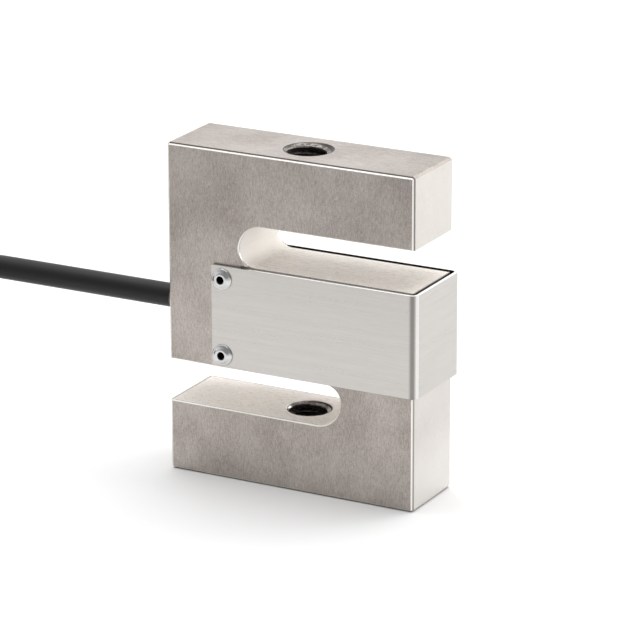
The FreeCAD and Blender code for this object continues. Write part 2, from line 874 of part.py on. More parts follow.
def eye_wire():
    """The open eye inside the turns at one fold."""
    inside = fold - cable_radius
    pinch = neck + cable_radius
    lean = math.atan2(reach, waist + neck)
    tangent_x = reach - inside * math.sin(lean)
    tangent_y = inside * math.cos(lean)
    closing = waist + neck
    blunt = val("hank_eye_blunt")
    tip_x = math.sqrt(pinch**2 - (closing - blunt) ** 2)
    back = FreeCAD.Vector(tangent_x, tangent_y, 0)
    front = FreeCAD.Vector(tangent_x, -tangent_y, 0)
    tip_back = FreeCAD.Vector(tip_x, blunt, 0)
    tip_front = FreeCAD.Vector(tip_x, -blunt, 0)
    bend = (math.asin(tangent_x / pinch) + math.asin(tip_x / pinch)) / 2
    side_x = pinch * math.sin(bend)
    side_y = closing - pinch * math.cos(bend)
    arcs = [
        Part.Arc(front, FreeCAD.Vector(reach + inside, 0, 0), back).toShape(),
        Part.Arc(back, FreeCAD.Vector(side_x, side_y, 0), tip_back).toShape(),
        Part.LineSegment(tip_back, tip_front).toShape(),
        Part.Arc(tip_front, FreeCAD.Vector(side_x, -side_y, 0), front).toShape(),
    ]
    return Part.Wire(arcs)


upwards = FreeCAD.Vector(0, 0, hank_height)
hank_shape = Part.Face(bone_wire((columns - 0.5) * diameter)).extrude(upwards)
eye = Part.Face(eye_wire()).extrude(upwards)
other_eye = eye.mirror(FreeCAD.Vector(), FreeCAD.Vector(1, 0, 0))
hank_shape = hank_shape.cut(eye).cut(other_eye)
entry = route[-1] - hank_middle
stub_in = Part.makeCylinder(
    cable_radius, entry.x - reach, entry, FreeCAD.Vector(-1, 0, 0)
)
sleeve_radius = val("sleeve_radius")
hull_radius = neck - (columns - 0.5) * diameter
hull_gap = waist + neck - outer_turn + sleeve_radius
sleeve_x = val("sleeve_clearance") - math.sqrt(hull_radius**2 - hull_gap**2)
sleeve_start = FreeCAD.Vector(sleeve_x, -outer_turn, sleeve_radius)
stub_from = FreeCAD.Vector(-reach, -outer_turn, sleeve_radius)
stub_out = Part.makeCylinder(
    cable_radius, sleeve_start.x + reach, stub_from, FreeCAD.Vector(1, 0, 0)
)
hank_shape = hank_shape.fuse(stub_in).fuse(stub_out)
tie_thick = val("tie_thickness")
tie_wide = val("tie_width")
waist_half = (columns - 0.5) * diameter + waist
band_outer = Part.makeBox(
    tie_wide,
    2 * waist_half,
    hank_height,
    FreeCAD.Vector(-tie_wide / 2, -waist_half, 0),
)
band_inner = Part.makeBox(
    tie_wide,
    2 * (waist_half - tie_thick),
    hank_height - 2 * tie_thick,
    FreeCAD.Vector(-tie_wide / 2, -waist_half + tie_thick, tie_thick),
)
band = band_outer.cut(band_inner)
groove = Part.makeBox(
    tie_wide,
    4 * waist_half,
    hank_height,
    FreeCAD.Vector(-tie_wide / 2, -2 * waist_half, 0),
).cut(band_inner)
hank_shape = hank_shape.cut(groove).removeSplitter()
feature_of("cable_hank", hank_shape, hank_middle)
feature_of("hank_tie", band, hank_middle)

# Shrink sleeve and stripped leads at the far end, beside the hank's waist
sleeve = doc.addObject("Part::Cylinder", "cable_end_sleeve")
sleeve.Label = "cable_end_sleeve"
sleeve.setExpression("Radius", cell("sleeve_radius"))
sleeve.setExpression("Height", cell("sleeve_length"))
sleeve.Placement = FreeCAD.Placement(
    hank_middle + sleeve_start, FreeCAD.Rotation(FreeCAD.Vector(0, 1, 0), 90)
)
lead_root = hank_middle + sleeve_start + FreeCAD.Vector(val("sleeve_length"), 0, 0)
lead_radius = val("lead_radius")
# Each with its radius, its place in the sleeve, aside and up, and its tip aside
fan = (
    ("lead_red", "lead_radius", -0.75, 0.75, -2.8),
    ("lead_white", "lead_radius", -0.75, -0.75, -0.6),
    ("lead_green", "lead_radius", 0.75, -0.75, 1.8),
    ("lead_black", "lead_radius", 0.75, 0.75, 3.9),
    ("drain_wire", "drain_radius", 0.0, -1.9, 0.6),
)
for name, radius_name, aside, lift, spread in fan:
    lead = doc.addObject("Part::Cylinder", name)
    lead.Label = name
    lead.setExpression("Radius", cell(radius_name))
    lead.setExpression("Height", cell("lead_length"))
    gap = val("lead_clearance")
    low = val(radius_name) + gap
    begin = lead_root + FreeCAD.Vector(gap, aside, lift)
    if begin.z < low:
        begin.z = low
    run = math.sqrt(val("lead_length") ** 2 - (spread - aside) ** 2 - (begin.z - low) ** 2)
    heading = FreeCAD.Vector(run, spread - aside, low - begin.z)
    lead.Placement = FreeCAD.Placement(
        begin, FreeCAD.Rotation(FreeCAD.Vector(0, 0, 1), heading)
    )

doc.recompute()

turn_length = 0.0
for column in range(columns):
    turn_length += bone_wire(column * diameter).Length * layers
print("cable length", round(free_length + turn_length + reach - abs(sleeve_x), 1))

# Every object and every solid is sound before anything is written
labels = []
for item in doc.Objects:
    if {"Invalid", "Error"} & set(item.State):
        raise RuntimeError(f"{item.Name} failed: {item.State}")
tops = [
    item
    for item in doc.Objects
    if item.TypeId in ("PartDesign::Body", "Part::Cylinder", "Part::Feature")
]
for item in tops:
    shape = item.Shape
    if shape.isNull() or not shape.isValid():
        raise RuntimeError(f"{item.Label} has no sound shape")
    if len(shape.Solids) != 1:
        raise RuntimeError(f"{item.Label} has {len(shape.Solids)} solids")
    labels.append(item.Label)
    shape.exportStep(f"parts/{item.Label}.step")
print(len(labels), "pieces written")
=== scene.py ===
import math

import bmesh
import bpy
from mathutils import Matrix, Vector


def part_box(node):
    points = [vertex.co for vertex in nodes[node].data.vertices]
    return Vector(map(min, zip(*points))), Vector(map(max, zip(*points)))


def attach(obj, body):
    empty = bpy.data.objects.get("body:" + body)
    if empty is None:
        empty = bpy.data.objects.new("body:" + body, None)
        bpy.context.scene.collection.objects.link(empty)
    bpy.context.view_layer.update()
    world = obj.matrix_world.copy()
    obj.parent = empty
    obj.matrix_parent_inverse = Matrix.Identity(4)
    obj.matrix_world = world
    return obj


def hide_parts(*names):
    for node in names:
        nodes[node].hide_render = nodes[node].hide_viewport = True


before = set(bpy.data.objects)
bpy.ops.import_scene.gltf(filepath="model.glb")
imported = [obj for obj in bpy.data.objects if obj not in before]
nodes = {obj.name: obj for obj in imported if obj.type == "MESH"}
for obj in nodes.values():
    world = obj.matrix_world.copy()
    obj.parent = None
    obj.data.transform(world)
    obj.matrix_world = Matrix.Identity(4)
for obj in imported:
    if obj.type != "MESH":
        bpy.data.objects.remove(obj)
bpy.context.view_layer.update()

scene = bpy.context.scene

# Camera. It stands to the right of the front and a little above, far away with
# a long lens, as product photographs of small machined parts are taken.
eye = Vector((0.317993, -0.588687, 0.25247))
target = Vector((0.000208, -0.00015, 0.032861))
roll = math.radians(-0.205)
camera_data = bpy.data.cameras.new("camera")
camera_data.sensor_width = 36.0
camera_data.lens = 222.35
camera_data.clip_start = 0.05
camera_data.clip_end = 20.0
camera = bpy.data.objects.new("camera", camera_data)
scene.collection.objects.link(camera)
scene.camera = camera
forward = (target - eye).normalized()
level_right = forward.cross(Vector((0, 0, 1))).normalized()
level_up = level_right.cross(forward)
right = level_right * math.cos(roll) + level_up * math.sin(roll)
up = level_up * math.cos(roll) - level_right * math.sin(roll)
turn = Matrix((right, up, -forward)).transposed().to_4x4()
camera.matrix_world = Matrix.Translation(eye) @ turn


# Cable. A round black jacketed cable, 4.5 mm thick, that leaves the ferrule
# level and straight, then joins a hank of twelve turns that lies beside the
# view, folded round two eyes and pinched in the middle by a tie.
def linear(code):
    """An sRGB hex colour as linear values with alpha."""
    values = []
    for k in (0, 2, 4):
        part = int(code[k:k + 2], 16) / 255
        low = part / 12.92
        high = ((part + 0.055) / 1.055) ** 2.4
        values.append(low if part <= 0.04045 else high)
    return (*values, 1.0)


def material(name):
    """A new node material with its tree and its Principled shader."""
    made = bpy.data.materials.new(name)
    made.use_nodes = True
    tree = made.node_tree
    shader = tree.nodes["Principled BSDF"]
    return made, tree, shader


def add(tree, kind, settings=None, inputs=None, links=None):
    """One node with its settings, its input values and its incoming links."""
    node = tree.nodes.new(kind)
    for key, value in (settings or {}).items():
        setattr(node, key, value)
    for key, value in (inputs or {}).items():
        node.inputs[key].default_value = value
    for key, source in (links or {}).items():
        tree.links.new(source, node.inputs[key])
    return node


def dress(name, made):
    """Give a CAD node's object one material."""
    slots = nodes[name].data.materials
    slots.clear()
    slots.append(made)


cable_radius = 0.00225
diameter = 2 * cable_radius
exit_point = (-0.0284, 0.0, 0.0313)
route = [
    exit_point,
    (-0.062, 0.0, 0.0313),
    (-0.072, 0.0, 0.0313),
    (-0.0895, 0.007, 0.02455),
]
hank_x, hank_y = -0.148438, -0.0116
fold_radius, fold_reach, waist = 0.0141, 0.032, 0.00225
neck = (fold_reach**2 + waist**2 - fold_radius**2) / (2 * (fold_radius - waist))
lean = math.atan2(waist + neck, -fold_reach)
fold_pieces = 8
turn_corners = 2 * fold_pieces + 4
crossing_start, crossing_length = fold_pieces + 4.5, 7.0
pinch_reach, pinch_sideways, pinch_down = 0.013, 0.145, 0.09


def bone_corners(offset):
    """The corners of one turn, from the right fold's back round to it again."""
    piece = 2 * lean / fold_pieces
    outer = (fold_radius + offset) / math.cos(piece / 2)
    half_side = lean - math.pi / 2
    inner = (neck - offset) / math.cos(half_side / 2)
    side_x = inner * math.sin(half_side / 2)
    side_y = waist + neck - inner * math.cos(half_side / 2)
    last = lean - piece / 2
    corners = [(fold_reach + outer * math.cos(last), outer * math.sin(last))]
    corners += [(side_x, side_y), (-side_x, side_y)]
    for k in range(fold_pieces):
        angle = math.pi - last + piece * k
        corners.append((outer * math.cos(angle) - fold_reach, outer * math.sin(angle)))
    corners += [(-side_x, -side_y), (side_x, -side_y)]
    for k in range(fold_pieces - 1):
        angle = piece * k - last
        corners.append((fold_reach + outer * math.cos(angle), outer * math.sin(angle)))
    return corners


# Each turn is a column and a layer, from the top down. Round the right fold it
# crosses over to the next one, and the last turn ends in the left fold.
turns = [(1, 5), (0, 5), (0, 4), (1, 4), (1, 3), (0, 3)]
turns += [(0, 2), (1, 2), (1, 1), (0, 1), (0, 0), (1, 0)]
layers, last_corner = 6, 8
shapes = [bone_corners(0.0), bone_corners(diameter)]
hank_height = layers * diameter
hank_points = []
for number, (column, layer) in enumerate(turns):
    final = number == len(turns) - 1
    next_column, next_layer = turns[number if final else number + 1]
    for k in range(last_corner + 1 if final else turn_corners):
        share = min(max((k - crossing_start) / crossing_length, 0.0), 1.0)
        share = share * share * (3 - 2 * share)
        here = Vector(shapes[column][k])
        ahead = Vector(shapes[next_column][k])
        x, y = here.lerp(ahead, share)
        height = (layer + (next_layer - layer) * share + 0.5) * diameter
        pinch = math.exp(-((x / pinch_reach) ** 2))
        y = y * (1 - pinch_sideways * pinch)
        height = hank_height / 2 + (height - hank_height / 2) * (1 - pinch_down * pinch)
        hank_points.append((hank_x + x, hank_y + y, height))
tail_y = hank_y - fold_radius - diameter
tail = [
    (hank_x - fold_reach - 0.0041, tail_y, 0.00228),
    (hank_x - 0.0215, tail_y, 0.0026),
    (hank_x - 0.0135, tail_y, 0.00265),
]
points = route + hank_points + tail
cable_curve = bpy.data.curves.new("cable_line", "CURVE")
cable_curve.dimensions = "3D"
cable_curve.bevel_depth = cable_radius
cable_curve.bevel_resolution = 6
cable_curve.resolution_u = 8
cable_curve.use_fill_caps = True
spline = cable_curve.splines.new("NURBS")
spline.points.add(len(points) - 1)
for point, place in zip(spline.points, points):
    point.co = (*place, 1.0)
spline.order_u = 3
spline.use_endpoint_u = True
cable = bpy.data.objects.new("cable_jacket", cable_curve)
scene.collection.objects.link(cable)

# Extruded PVC: nearly black, a satin skin with a faint haze of handling and an
# orange peel from the die, drawn 1 mm wide, because a finer one wouldn't show.
# A colour Mix node takes its share at 0 and its colours at 6 and 7, and gives the
# colour at output 2.
mm = 0.001
jacket, tree, shader = material("extruded_black_pvc_jacket")
place = add(tree, "ShaderNodeTexCoord")
skin = add(
    tree,
    "ShaderNodeTexNoise",
    inputs={"Scale": 1 / (1.0 * mm), "Detail": 4.0, "Roughness": 0.6},
    links={"Vector": place.outputs["Object"]},
)
haze = add(
    tree,
    "ShaderNodeTexNoise",
    inputs={"Scale": 1 / (16 * mm), "Detail": 3.0, "Roughness": 0.5},
    links={"Vector": place.outputs["Object"]},
)
tone = add(
    tree,
    "ShaderNodeMix",
    {"data_type": "RGBA"},
    {6: linear("121213"), 7: linear("1b1b1c")},
    {0: haze.outputs["Fac"]},
)
gloss = add(
    tree,
    "ShaderNodeMapRange",
    inputs={"From Min": 0.3, "From Max": 0.7, "To Min": 0.4, "To Max": 0.52},
    links={"Value": haze.outputs["Fac"]},
)
bump = add(
    tree,
    "ShaderNodeBump",
    inputs={"Strength": 0.25, "Distance": 0.03 * mm},
    links={"Height": skin.outputs["Fac"]},
)
tree.links.new(tone.outputs[2], shader.inputs["Base Color"])
tree.links.new(gloss.outputs["Result"], shader.inputs["Roughness"])
tree.links.new(bump.outputs["Normal"], shader.inputs["Normal"])
shader.inputs["Specular IOR Level"].default_value = 0.32
cable_curve.materials.append(jacket)
dress("cable_inner", jacket)


# Tie. A moulded nylon strap, 4.8 mm wide, pulled tight round the waist of the
# hank through its own lock, which faces the front; its tail is cut off short.
def put(name, mesh, finish, slot, *stands_for):
    """An object that rides on the body, with its finish and the nodes it replaces."""
    mesh.materials.append(finish)
    piece = bpy.data.objects.new(name, mesh)
    scene.collection.objects.link(piece)
    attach(piece, "root")
    if stands_for:
        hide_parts(*stands_for)
    return piece


def smoothed(mesh, limit=35):
    """Round shading that keeps edges sharper than the limit in degrees."""
    mesh.shade_smooth()
    mesh.set_sharp_from_angle(angle=math.radians(limit))
    return mesh


tie_low, tie_high = (Vector(corner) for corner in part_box("hank_tie"))
tie_middle = (tie_low + tie_high) / 2
tie_half = (tie_high - tie_low) / 2
tie_thick, tie_corner = 1.0 * mm, 3.0 * mm
lock_size, lock_round = Vector((6.4, 4.2, 5.6)) * mm, 0.8 * mm
lock_middle = Vector((tie_middle.x, tie_low.y - 1.6 * mm, tie_middle.z + 2.0 * mm))
stub_size, stub_round = Vector((4.4, 1.0, 4.0)) * mm, 0.2 * mm
stub_middle = Vector((tie_middle.x, tie_low.y - 1.9 * mm, tie_middle.z + 5.4 * mm))
corner_steps = 6
band = (
    (-1.0, 0.15), (-0.94, 0.0), (0.94, 0.0), (1.0, 0.15),
    (1.0, 0.85), (0.94, 1.0), (-0.94, 1.0), (-1.0, 0.85),
)
strap = bmesh.new()
rings = []
for corner, (side_y, side_z) in enumerate(((1, 1), (-1, 1), (-1, -1), (1, -1))):
    for k in range(corner_steps + 1):
        angle = math.radians(90 * corner + 90 / corner_steps * k)
        out_y, out_z = math.cos(angle), math.sin(angle)
        at_y = side_y * (tie_half.y - tie_corner)
        at_z = side_z * (tie_half.z - tie_corner)
        ring = []
        for across, up in band:
            away = tie_corner - tie_thick * (1 - up)
            spot = Vector((across * tie_half.x, at_y + away * out_y, at_z + away * out_z))
            ring.append(strap.verts.new(tie_middle + spot))
        rings.append(ring)
for k, ring in enumerate(rings):
    following = rings[(k + 1) % len(rings)]
    for j in range(len(band)):
        beside = (j + 1) % len(band)
        strap.faces.new((ring[j], ring[beside], following[beside], following[j]))
for size, middle, edge_round, segments in (
    (lock_size, lock_middle, lock_round, 3),
    (stub_size, stub_middle, stub_round, 2),
):
    corners = bmesh.ops.create_cube(strap, size=1.0)["verts"]
    for corner in corners:
        corner.co = corner.co * size + middle
    edges = {edge for corner in corners for edge in corner.link_edges}
    bmesh.ops.bevel(
        strap, geom=list(edges), offset=edge_round, segments=segments, affect="EDGES"
    )
bmesh.ops.recalc_face_normals(strap, faces=strap.faces)
tie_mesh = bpy.data.meshes.new("tie")
strap.to_mesh(tie_mesh)
strap.free()

# Moulded nylon: near white, waxy, with cross ribs on the strap 1.2 mm apart. A
# wave texture of scale 1 repeats every 0.314 m, which sets its scale here and on.
wave_repeat = 0.314
nylon, tree, shader = material("moulded_natural_nylon")
place = add(tree, "ShaderNodeTexCoord")
ribs = add(
    tree,
    "ShaderNodeTexWave",
    {"wave_type": "BANDS", "bands_direction": "Z", "wave_profile": "SAW"},
    {"Scale": wave_repeat / (1.2 * mm), "Distortion": 0.0},
    {"Vector": place.outputs["Object"]},
)
milk = add(
    tree,
    "ShaderNodeTexNoise",
    inputs={"Scale": 1 / (6 * mm), "Detail": 3.0},
    links={"Vector": place.outputs["Object"]},
)
tone = add(
    tree,
    "ShaderNodeMix",
    {"data_type": "RGBA"},
    {6: linear("dcd8cc"), 7: linear("e9e6dc")},
    {0: milk.outputs["Fac"]},
)
bump = add(
    tree,
    "ShaderNodeBump",
    inputs={"Strength": 0.4, "Distance": 0.12 * mm},
    links={"Height": ribs.outputs["Fac"]},
)
shader.inputs["Roughness"].default_value = 0.42
shader.inputs["Subsurface Weight"].default_value = 0.1
shader.inputs["Subsurface Scale"].default_value = 1.0 * mm
tree.links.new(tone.outputs[2], shader.inputs["Base Color"])
tree.links.new(bump.outputs["Normal"], shader.inputs["Normal"])
tie = put("tie_strap", smoothed(tie_mesh), nylon, "tie_plastic", "hank_tie")


# Cable's end. The jacket is cut back under a short heat-shrunk sleeve, and four
# insulated leads and the screen's drain wire come out, their tips tinned.
def turned(name, profile, at, heading, segments=40, closed=False):
    """A mesh turned about an axis from pairs of radius and place along it."""
    mesh = bpy.data.meshes.new(name)
    basis = Vector(heading).to_track_quat("Z", "Y").to_matrix()
    verts = []
    faces = []
    for radius, along in profile:
        for k in range(segments):
            angle = 2 * math.pi * k / segments
            spot = Vector((radius * math.cos(angle), radius * math.sin(angle), along))
            verts.append(Vector(at) + basis @ spot)
    last = len(profile) if closed else len(profile) - 1
    for row in range(last):
        above = (row + 1) % len(profile)
        for k in range(segments):
            step = (k + 1) % segments
            faces.append(
                (
                    row * segments + k,
                    row * segments + step,
                    above * segments + step,
                    above * segments + k,
                )
            )
    if not closed:
        faces.append(tuple(reversed(range(segments))))
        faces.append(tuple(range(last * segments, (last + 1) * segments)))
    mesh.from_pydata(verts, [], faces)
    return mesh


sleeve_low, sleeve_high = (Vector(corner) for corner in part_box("cable_end_sleeve"))
sleeve_radius = (sleeve_high.y - sleeve_low.y) / 2
sleeve_length = sleeve_high.x - sleeve_low.x
sleeve_start = Vector((sleeve_low.x, sleeve_low.y + sleeve_radius, sleeve_radius))
sleeve_profile = [
    (0.90 * sleeve_radius, 0.0),
    (0.96 * sleeve_radius, 0.1 * mm),
    (0.985 * sleeve_radius, 1.2 * mm),
    (sleeve_radius, 2.6 * mm),
    (sleeve_radius, sleeve_length - 2.2 * mm),
    (0.97 * sleeve_radius, sleeve_length - 1.1 * mm),
    (0.90 * sleeve_radius, sleeve_length - 0.2 * mm),
    (0.82 * sleeve_radius, sleeve_length),
]
sleeve_mesh = turned("sleeve", sleeve_profile, sleeve_start, (1, 0, 0))

# Heat-shrunk polyolefin: matt black, slightly wrinkled round the cable.
shrunk, tree, shader = material("heat_shrunk_black_polyolefin")
place = add(tree, "ShaderNodeTexCoord")
stretch = add(
    tree,
    "ShaderNodeMapping",
    inputs={"Scale": (2.4, 1.0, 1.0)},
    links={"Vector": place.outputs["Object"]},
)
wrinkles = add(
    tree,
    "ShaderNodeTexNoise",
    inputs={"Scale": 1 / (2.0 * mm), "Detail": 4.0, "Roughness": 0.6},
    links={"Vector": stretch.outputs["Vector"]},
)
tone = add(
    tree,
    "ShaderNodeMix",
    {"data_type": "RGBA"},
    {6: linear("141415"), 7: linear("222223")},
    {0: wrinkles.outputs["Fac"]},
)
bump = add(
    tree,
    "ShaderNodeBump",
    inputs={"Strength": 0.4, "Distance": 0.08 * mm},
    links={"Height": wrinkles.outputs["Fac"]},
)
shader.inputs["Roughness"].default_value = 0.62
tree.links.new(tone.outputs[2], shader.inputs["Base Color"])
tree.links.new(bump.outputs["Normal"], shader.inputs["Normal"])
sleeve = put(
    "end_sleeve", smoothed(sleeve_mesh, 50), shrunk, "shrink_sleeve", "cable_end_sleeve"
)

# Tinned copper: fine twisted strands, grey and softly bright. They are drawn
# 0.3 mm apart, a little coarser than real ones, so that they show.
tinned, tree, shader = material("tinned_copper_strands")
place = add(tree, "ShaderNodeTexCoord")
slant = add(
    tree,
    "ShaderNodeMapping",
    inputs={"Rotation": (0.0, 0.0, math.radians(35))},
    links={"Vector": place.outputs["Object"]},
)
strands = add(
    tree,
    "ShaderNodeTexWave",
    {"wave_type": "BANDS", "bands_direction": "X", "wave_profile": "SIN"},
    {"Scale": wave_repeat / (0.3 * mm), "Distortion": 0.4},
    {"Vector": slant.outputs["Vector"]},
)
tone = add(
    tree,
    "ShaderNodeMix",
    {"data_type": "RGBA"},
    {6: linear("8f8f8d"), 7: linear("c9c9c6")},
    {0: strands.outputs["Fac"]},
)
bump = add(
    tree,
    "ShaderNodeBump",
    inputs={"Strength": 0.7, "Distance": 0.06 * mm},
    links={"Height": strands.outputs["Fac"]},
)
shader.inputs["Metallic"].default_value = 1.0
shader.inputs["Roughness"].default_value = 0.32
tree.links.new(tone.outputs[2], shader.inputs["Base Color"])
tree.links.new(bump.outputs["Normal"], shader.inputs["Normal"])


def wire_insulation(name, dull, bright):
    """Coloured PVC insulation: a dyed, waxy skin with faint flow marks."""
    made, tree, shader = material(name)
    place = add(tree, "ShaderNodeTexCoord")
    flow = add(
        tree,
        "ShaderNodeTexNoise",
        inputs={"Scale": 1 / (1.5 * mm), "Detail": 3.0},
        links={"Vector": place.outputs["Object"]},
    )
    tone = add(
        tree,
        "ShaderNodeMix",
        {"data_type": "RGBA"},
        {6: linear(dull), 7: linear(bright)},
        {0: flow.outputs["Fac"]},
    )
    bump = add(
        tree,
        "ShaderNodeBump",
        inputs={"Strength": 0.2, "Distance": 0.02 * mm},
        links={"Height": flow.outputs["Fac"]},
    )
    shader.inputs["Roughness"].default_value = 0.4
    tree.links.new(tone.outputs[2], shader.inputs["Base Color"])
    tree.links.new(bump.outputs["Normal"], shader.inputs["Normal"])
    return made


insulation = {
    "red": wire_insulation("red_pvc_insulation", "8e1c1a", "a92622"),
    "white": wire_insulation("white_pvc_insulation", "cfcdc6", "e2e0da"),
    "green": wire_insulation("green_pvc_insulation", "1f5c33", "2a7342"),
    "black": wire_insulation("black_pvc_insulation", "161617", "232324"),
}
lead_radius, strand_radius = 0.6 * mm, 0.33 * mm
lead_length, tip_length = 24 * mm, 5 * mm
gap = 0.15 * mm
low = lead_radius + gap
lead_root = sleeve_start + Vector((sleeve_length + gap, 0, 0))
for colour, aside, lift, spread in (
    ("red", -0.75, 0.75, -2.8),
    ("white", -0.75, -0.75, -0.6),
    ("green", 0.75, -0.75, 1.8),
    ("black", 0.75, 0.75, 3.9),
):
    begin = lead_root + Vector((0, aside * mm, lift * mm))
    begin.z = max(begin.z, low)
    side_step, drop = (spread - aside) * mm, begin.z - low
    run = math.sqrt(lead_length**2 - side_step**2 - drop**2)
    heading = Vector((run, side_step, -drop))
    skin_end = lead_length - tip_length
    lead_mesh = turned(
        f"lead_{colour}",
        [
            (0.9 * lead_radius, 0.0),
            (lead_radius, 0.1 * mm),
            (lead_radius, skin_end - 0.1 * mm),
            (0.92 * lead_radius, skin_end),
            (strand_radius, skin_end),
            (strand_radius, lead_length - 0.1 * mm),
            (0.7 * strand_radius, lead_length),
        ],
        begin,
        heading,
        segments=20,
    )
    smoothed(lead_mesh)
    lead = put(
        f"wire_{colour}",
        lead_mesh,
        insulation[colour],
        f"lead_{colour}_pvc",
        f"lead_{colour}",
    )
    lead_mesh.materials.append(tinned)
    for face in lead_mesh.polygons:
        reach = (face.center - begin).dot(heading.normalized())
        face.material_index = 1 if reach > skin_end - 0.01 * mm else 0
dress("drain_wire", tinned)
for spot, colour in (
    ("front_upper", "red"),
    ("front_lower", "white"),
    ("back_upper", "green"),
    ("back_lower", "black"),
):
    dress(f"core_{spot}", insulation[colour])

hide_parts("cable", "cable_hank")
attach(cable, "root")


# Spring body. One block of alloy steel, sawn, milled and ground, then nickel
# plated. The ground sides keep fine upright scratches under the plating, the ends
# are paler, partly as painted light, the slots keep the mill's matt skin, and the
# broken edges carry a painted highlight and painted shade.
edge_break = 0.45 * mm
arm_height, mouth_radius = 13.65 * mm, 4.75 * mm
body_low, body_high = (Vector(corner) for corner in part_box("spring_body"))
body_middle = (body_low + body_high) / 2
body_half = (body_high - body_low) / 2

# A face looks squarely along an axis where its normal has more than this share
# along it. The end faces and the flats are told from the sides by that.
faces_squarely = 0.8
steel, tree, shader = material("ground_nickel_plated_steel")
place = add(tree, "ShaderNodeTexCoord")
facing = add(tree, "ShaderNodeNewGeometry")
aside = add(
    tree,
    "ShaderNodeVectorMath",
    {"operation": "ABSOLUTE"},
    links={0: facing.outputs["Normal"]},
)
split = add(tree, "ShaderNodeSeparateXYZ", links={"Vector": aside.outputs["Vector"]})
flat = add(
    tree,
    "ShaderNodeMath",
    {"operation": "GREATER_THAN"},
    {1: faces_squarely},
    {0: split.outputs["Z"]},
)
end = add(
    tree,
    "ShaderNodeMath",
    {"operation": "GREATER_THAN"},
    {1: faces_squarely},
    {0: split.outputs["X"]},
)

# The grit leaves scratches about 0.03 mm wide. They are drawn 0.12 and 0.15 mm
# wide, upright on the sides and level on the flats, because finer ones don't show.
grains = []
for length, width, height in ((0.12, 0.12, 0.8), (1.6, 0.15, 0.15)):
    stretch = add(
        tree,
        "ShaderNodeMapping",
        inputs={"Scale": (1 / (length * mm), 1 / (width * mm), 1 / (height * mm))},
        links={"Vector": place.outputs["Object"]},
    )
    grains.append(
        add(
            tree,
            "ShaderNodeTexNoise",
            inputs={"Scale": 1.0, "Detail": 2.0, "Roughness": 0.6},
            links={"Vector": stretch.outputs["Vector"]},
        )
    )
grain = add(
    tree,
    "ShaderNodeMix",
    links={
        0: flat.outputs[0],
        2: grains[0].outputs["Fac"],
        3: grains[1].outputs["Fac"],
    },
)
speckle = add(
    tree,
    "ShaderNodeTexNoise",
    inputs={"Scale": 1 / (0.3 * mm), "Detail": 4.0, "Roughness": 0.75},
    links={"Vector": place.outputs["Object"]},
)
cloud = add(
    tree,
    "ShaderNodeTexNoise",
    inputs={"Scale": 1 / (11 * mm), "Detail": 3.0, "Roughness": 0.55},
    links={"Vector": place.outputs["Object"]},
)
fine = add(
    tree,
    "ShaderNodeMath",
    {"operation": "ADD"},
    links={0: grain.outputs[0], 1: speckle.outputs["Fac"]},
)
cloud_weight = 0.6
mottle = add(
    tree,
    "ShaderNodeMath",
    {"operation": "MULTIPLY_ADD"},
    {1: cloud_weight},
    {0: cloud.outputs["Fac"], 2: fine.outputs[0]},
)
spread = add(
    tree,
    "ShaderNodeMapRange",
    inputs={"From Min": 0.9, "From Max": 1.7},
    links={"Value": mottle.outputs[0]},
)
ground_tone = add(
    tree,
    "ShaderNodeMix",
    {"data_type": "RGBA"},
    {6: linear("8c837c"), 7: linear("c8c0ba")},
    {0: spread.outputs["Result"]},
)
# The ends take a paler tone than the sides, partly as painted light.
end_tone = add(
    tree,
    "ShaderNodeMix",
    {"data_type": "RGBA"},
    {6: linear("c2bdb8"), 7: linear("d0ccc7")},
    {0: spread.outputs["Result"]},
)

# The ends are painted brighter near the foot, a painted reflection of the lit floor.
foot_light_from, foot_light_to, foot_light_share = 14 * mm, 1 * mm, 0.42
heights = add(tree, "ShaderNodeSeparateXYZ", links={"Vector": place.outputs["Object"]})
near_foot = add(
    tree,
    "ShaderNodeMapRange",
    inputs={"From Min": foot_light_from, "From Max": foot_light_to, "To Max": foot_light_share},
    links={"Value": heights.outputs["Z"]},
)
foot_lit_end_tone = add(
    tree,
    "ShaderNodeMix",
    {"data_type": "RGBA"},
    {7: linear("f4f1ee")},
    {0: near_foot.outputs["Result"], 6: end_tone.outputs[2]},
)
outer_tone = add(
    tree,
    "ShaderNodeMix",
    {"data_type": "RGBA"},
    links={0: end.outputs[0], 6: ground_tone.outputs[2], 7: foot_lit_end_tone.outputs[2]},
)

# The slots' milled skin is paler, most of all on their upright walls. It lies
# deeper in the block than the broken edges reach.
stain = add(
    tree,
    "ShaderNodeMapRange",
    inputs={"From Min": 0.65, "From Max": 1.0},
    links={"Value": fine.outputs[0]},
)
milled_tone = add(
    tree,
    "ShaderNodeMix",
    {"data_type": "RGBA"},
    {6: linear("d3cbc4"), 7: linear("f3f0ec")},
    {0: stain.outputs["Result"]},
)
upright = add(
    tree,
    "ShaderNodeMapRange",
    inputs={"From Min": 0.2, "From Max": 0.8, "To Max": 0.85},
    links={"Value": split.outputs["X"]},
)
slot_tone = add(
    tree,
    "ShaderNodeMix",
    {"data_type": "RGBA"},
    {7: linear("fcfaf7")},
    {0: upright.outputs["Result"], 6: milled_tone.outputs[2]},
)
middle = add(
    tree,
    "ShaderNodeVectorMath",
    {"operation": "SUBTRACT"},
    {1: tuple(body_middle)},
    {0: place.outputs["Object"]},
)
apart = add(
    tree,
    "ShaderNodeVectorMath",
    {"operation": "ABSOLUTE"},
    links={0: middle.outputs["Vector"]},
)
depth = add(
    tree,
    "ShaderNodeVectorMath",
    {"operation": "SUBTRACT"},
    {1: tuple(body_half - Vector((1, 1, 1)) * edge_break)},
    {0: apart.outputs["Vector"]},
)
sides = add(tree, "ShaderNodeSeparateXYZ", links={"Vector": depth.outputs["Vector"]})
nearer = add(
    tree,
    "ShaderNodeMath",
    {"operation": "MAXIMUM"},
    links={0: sides.outputs["X"], 1: sides.outputs["Y"]},
)
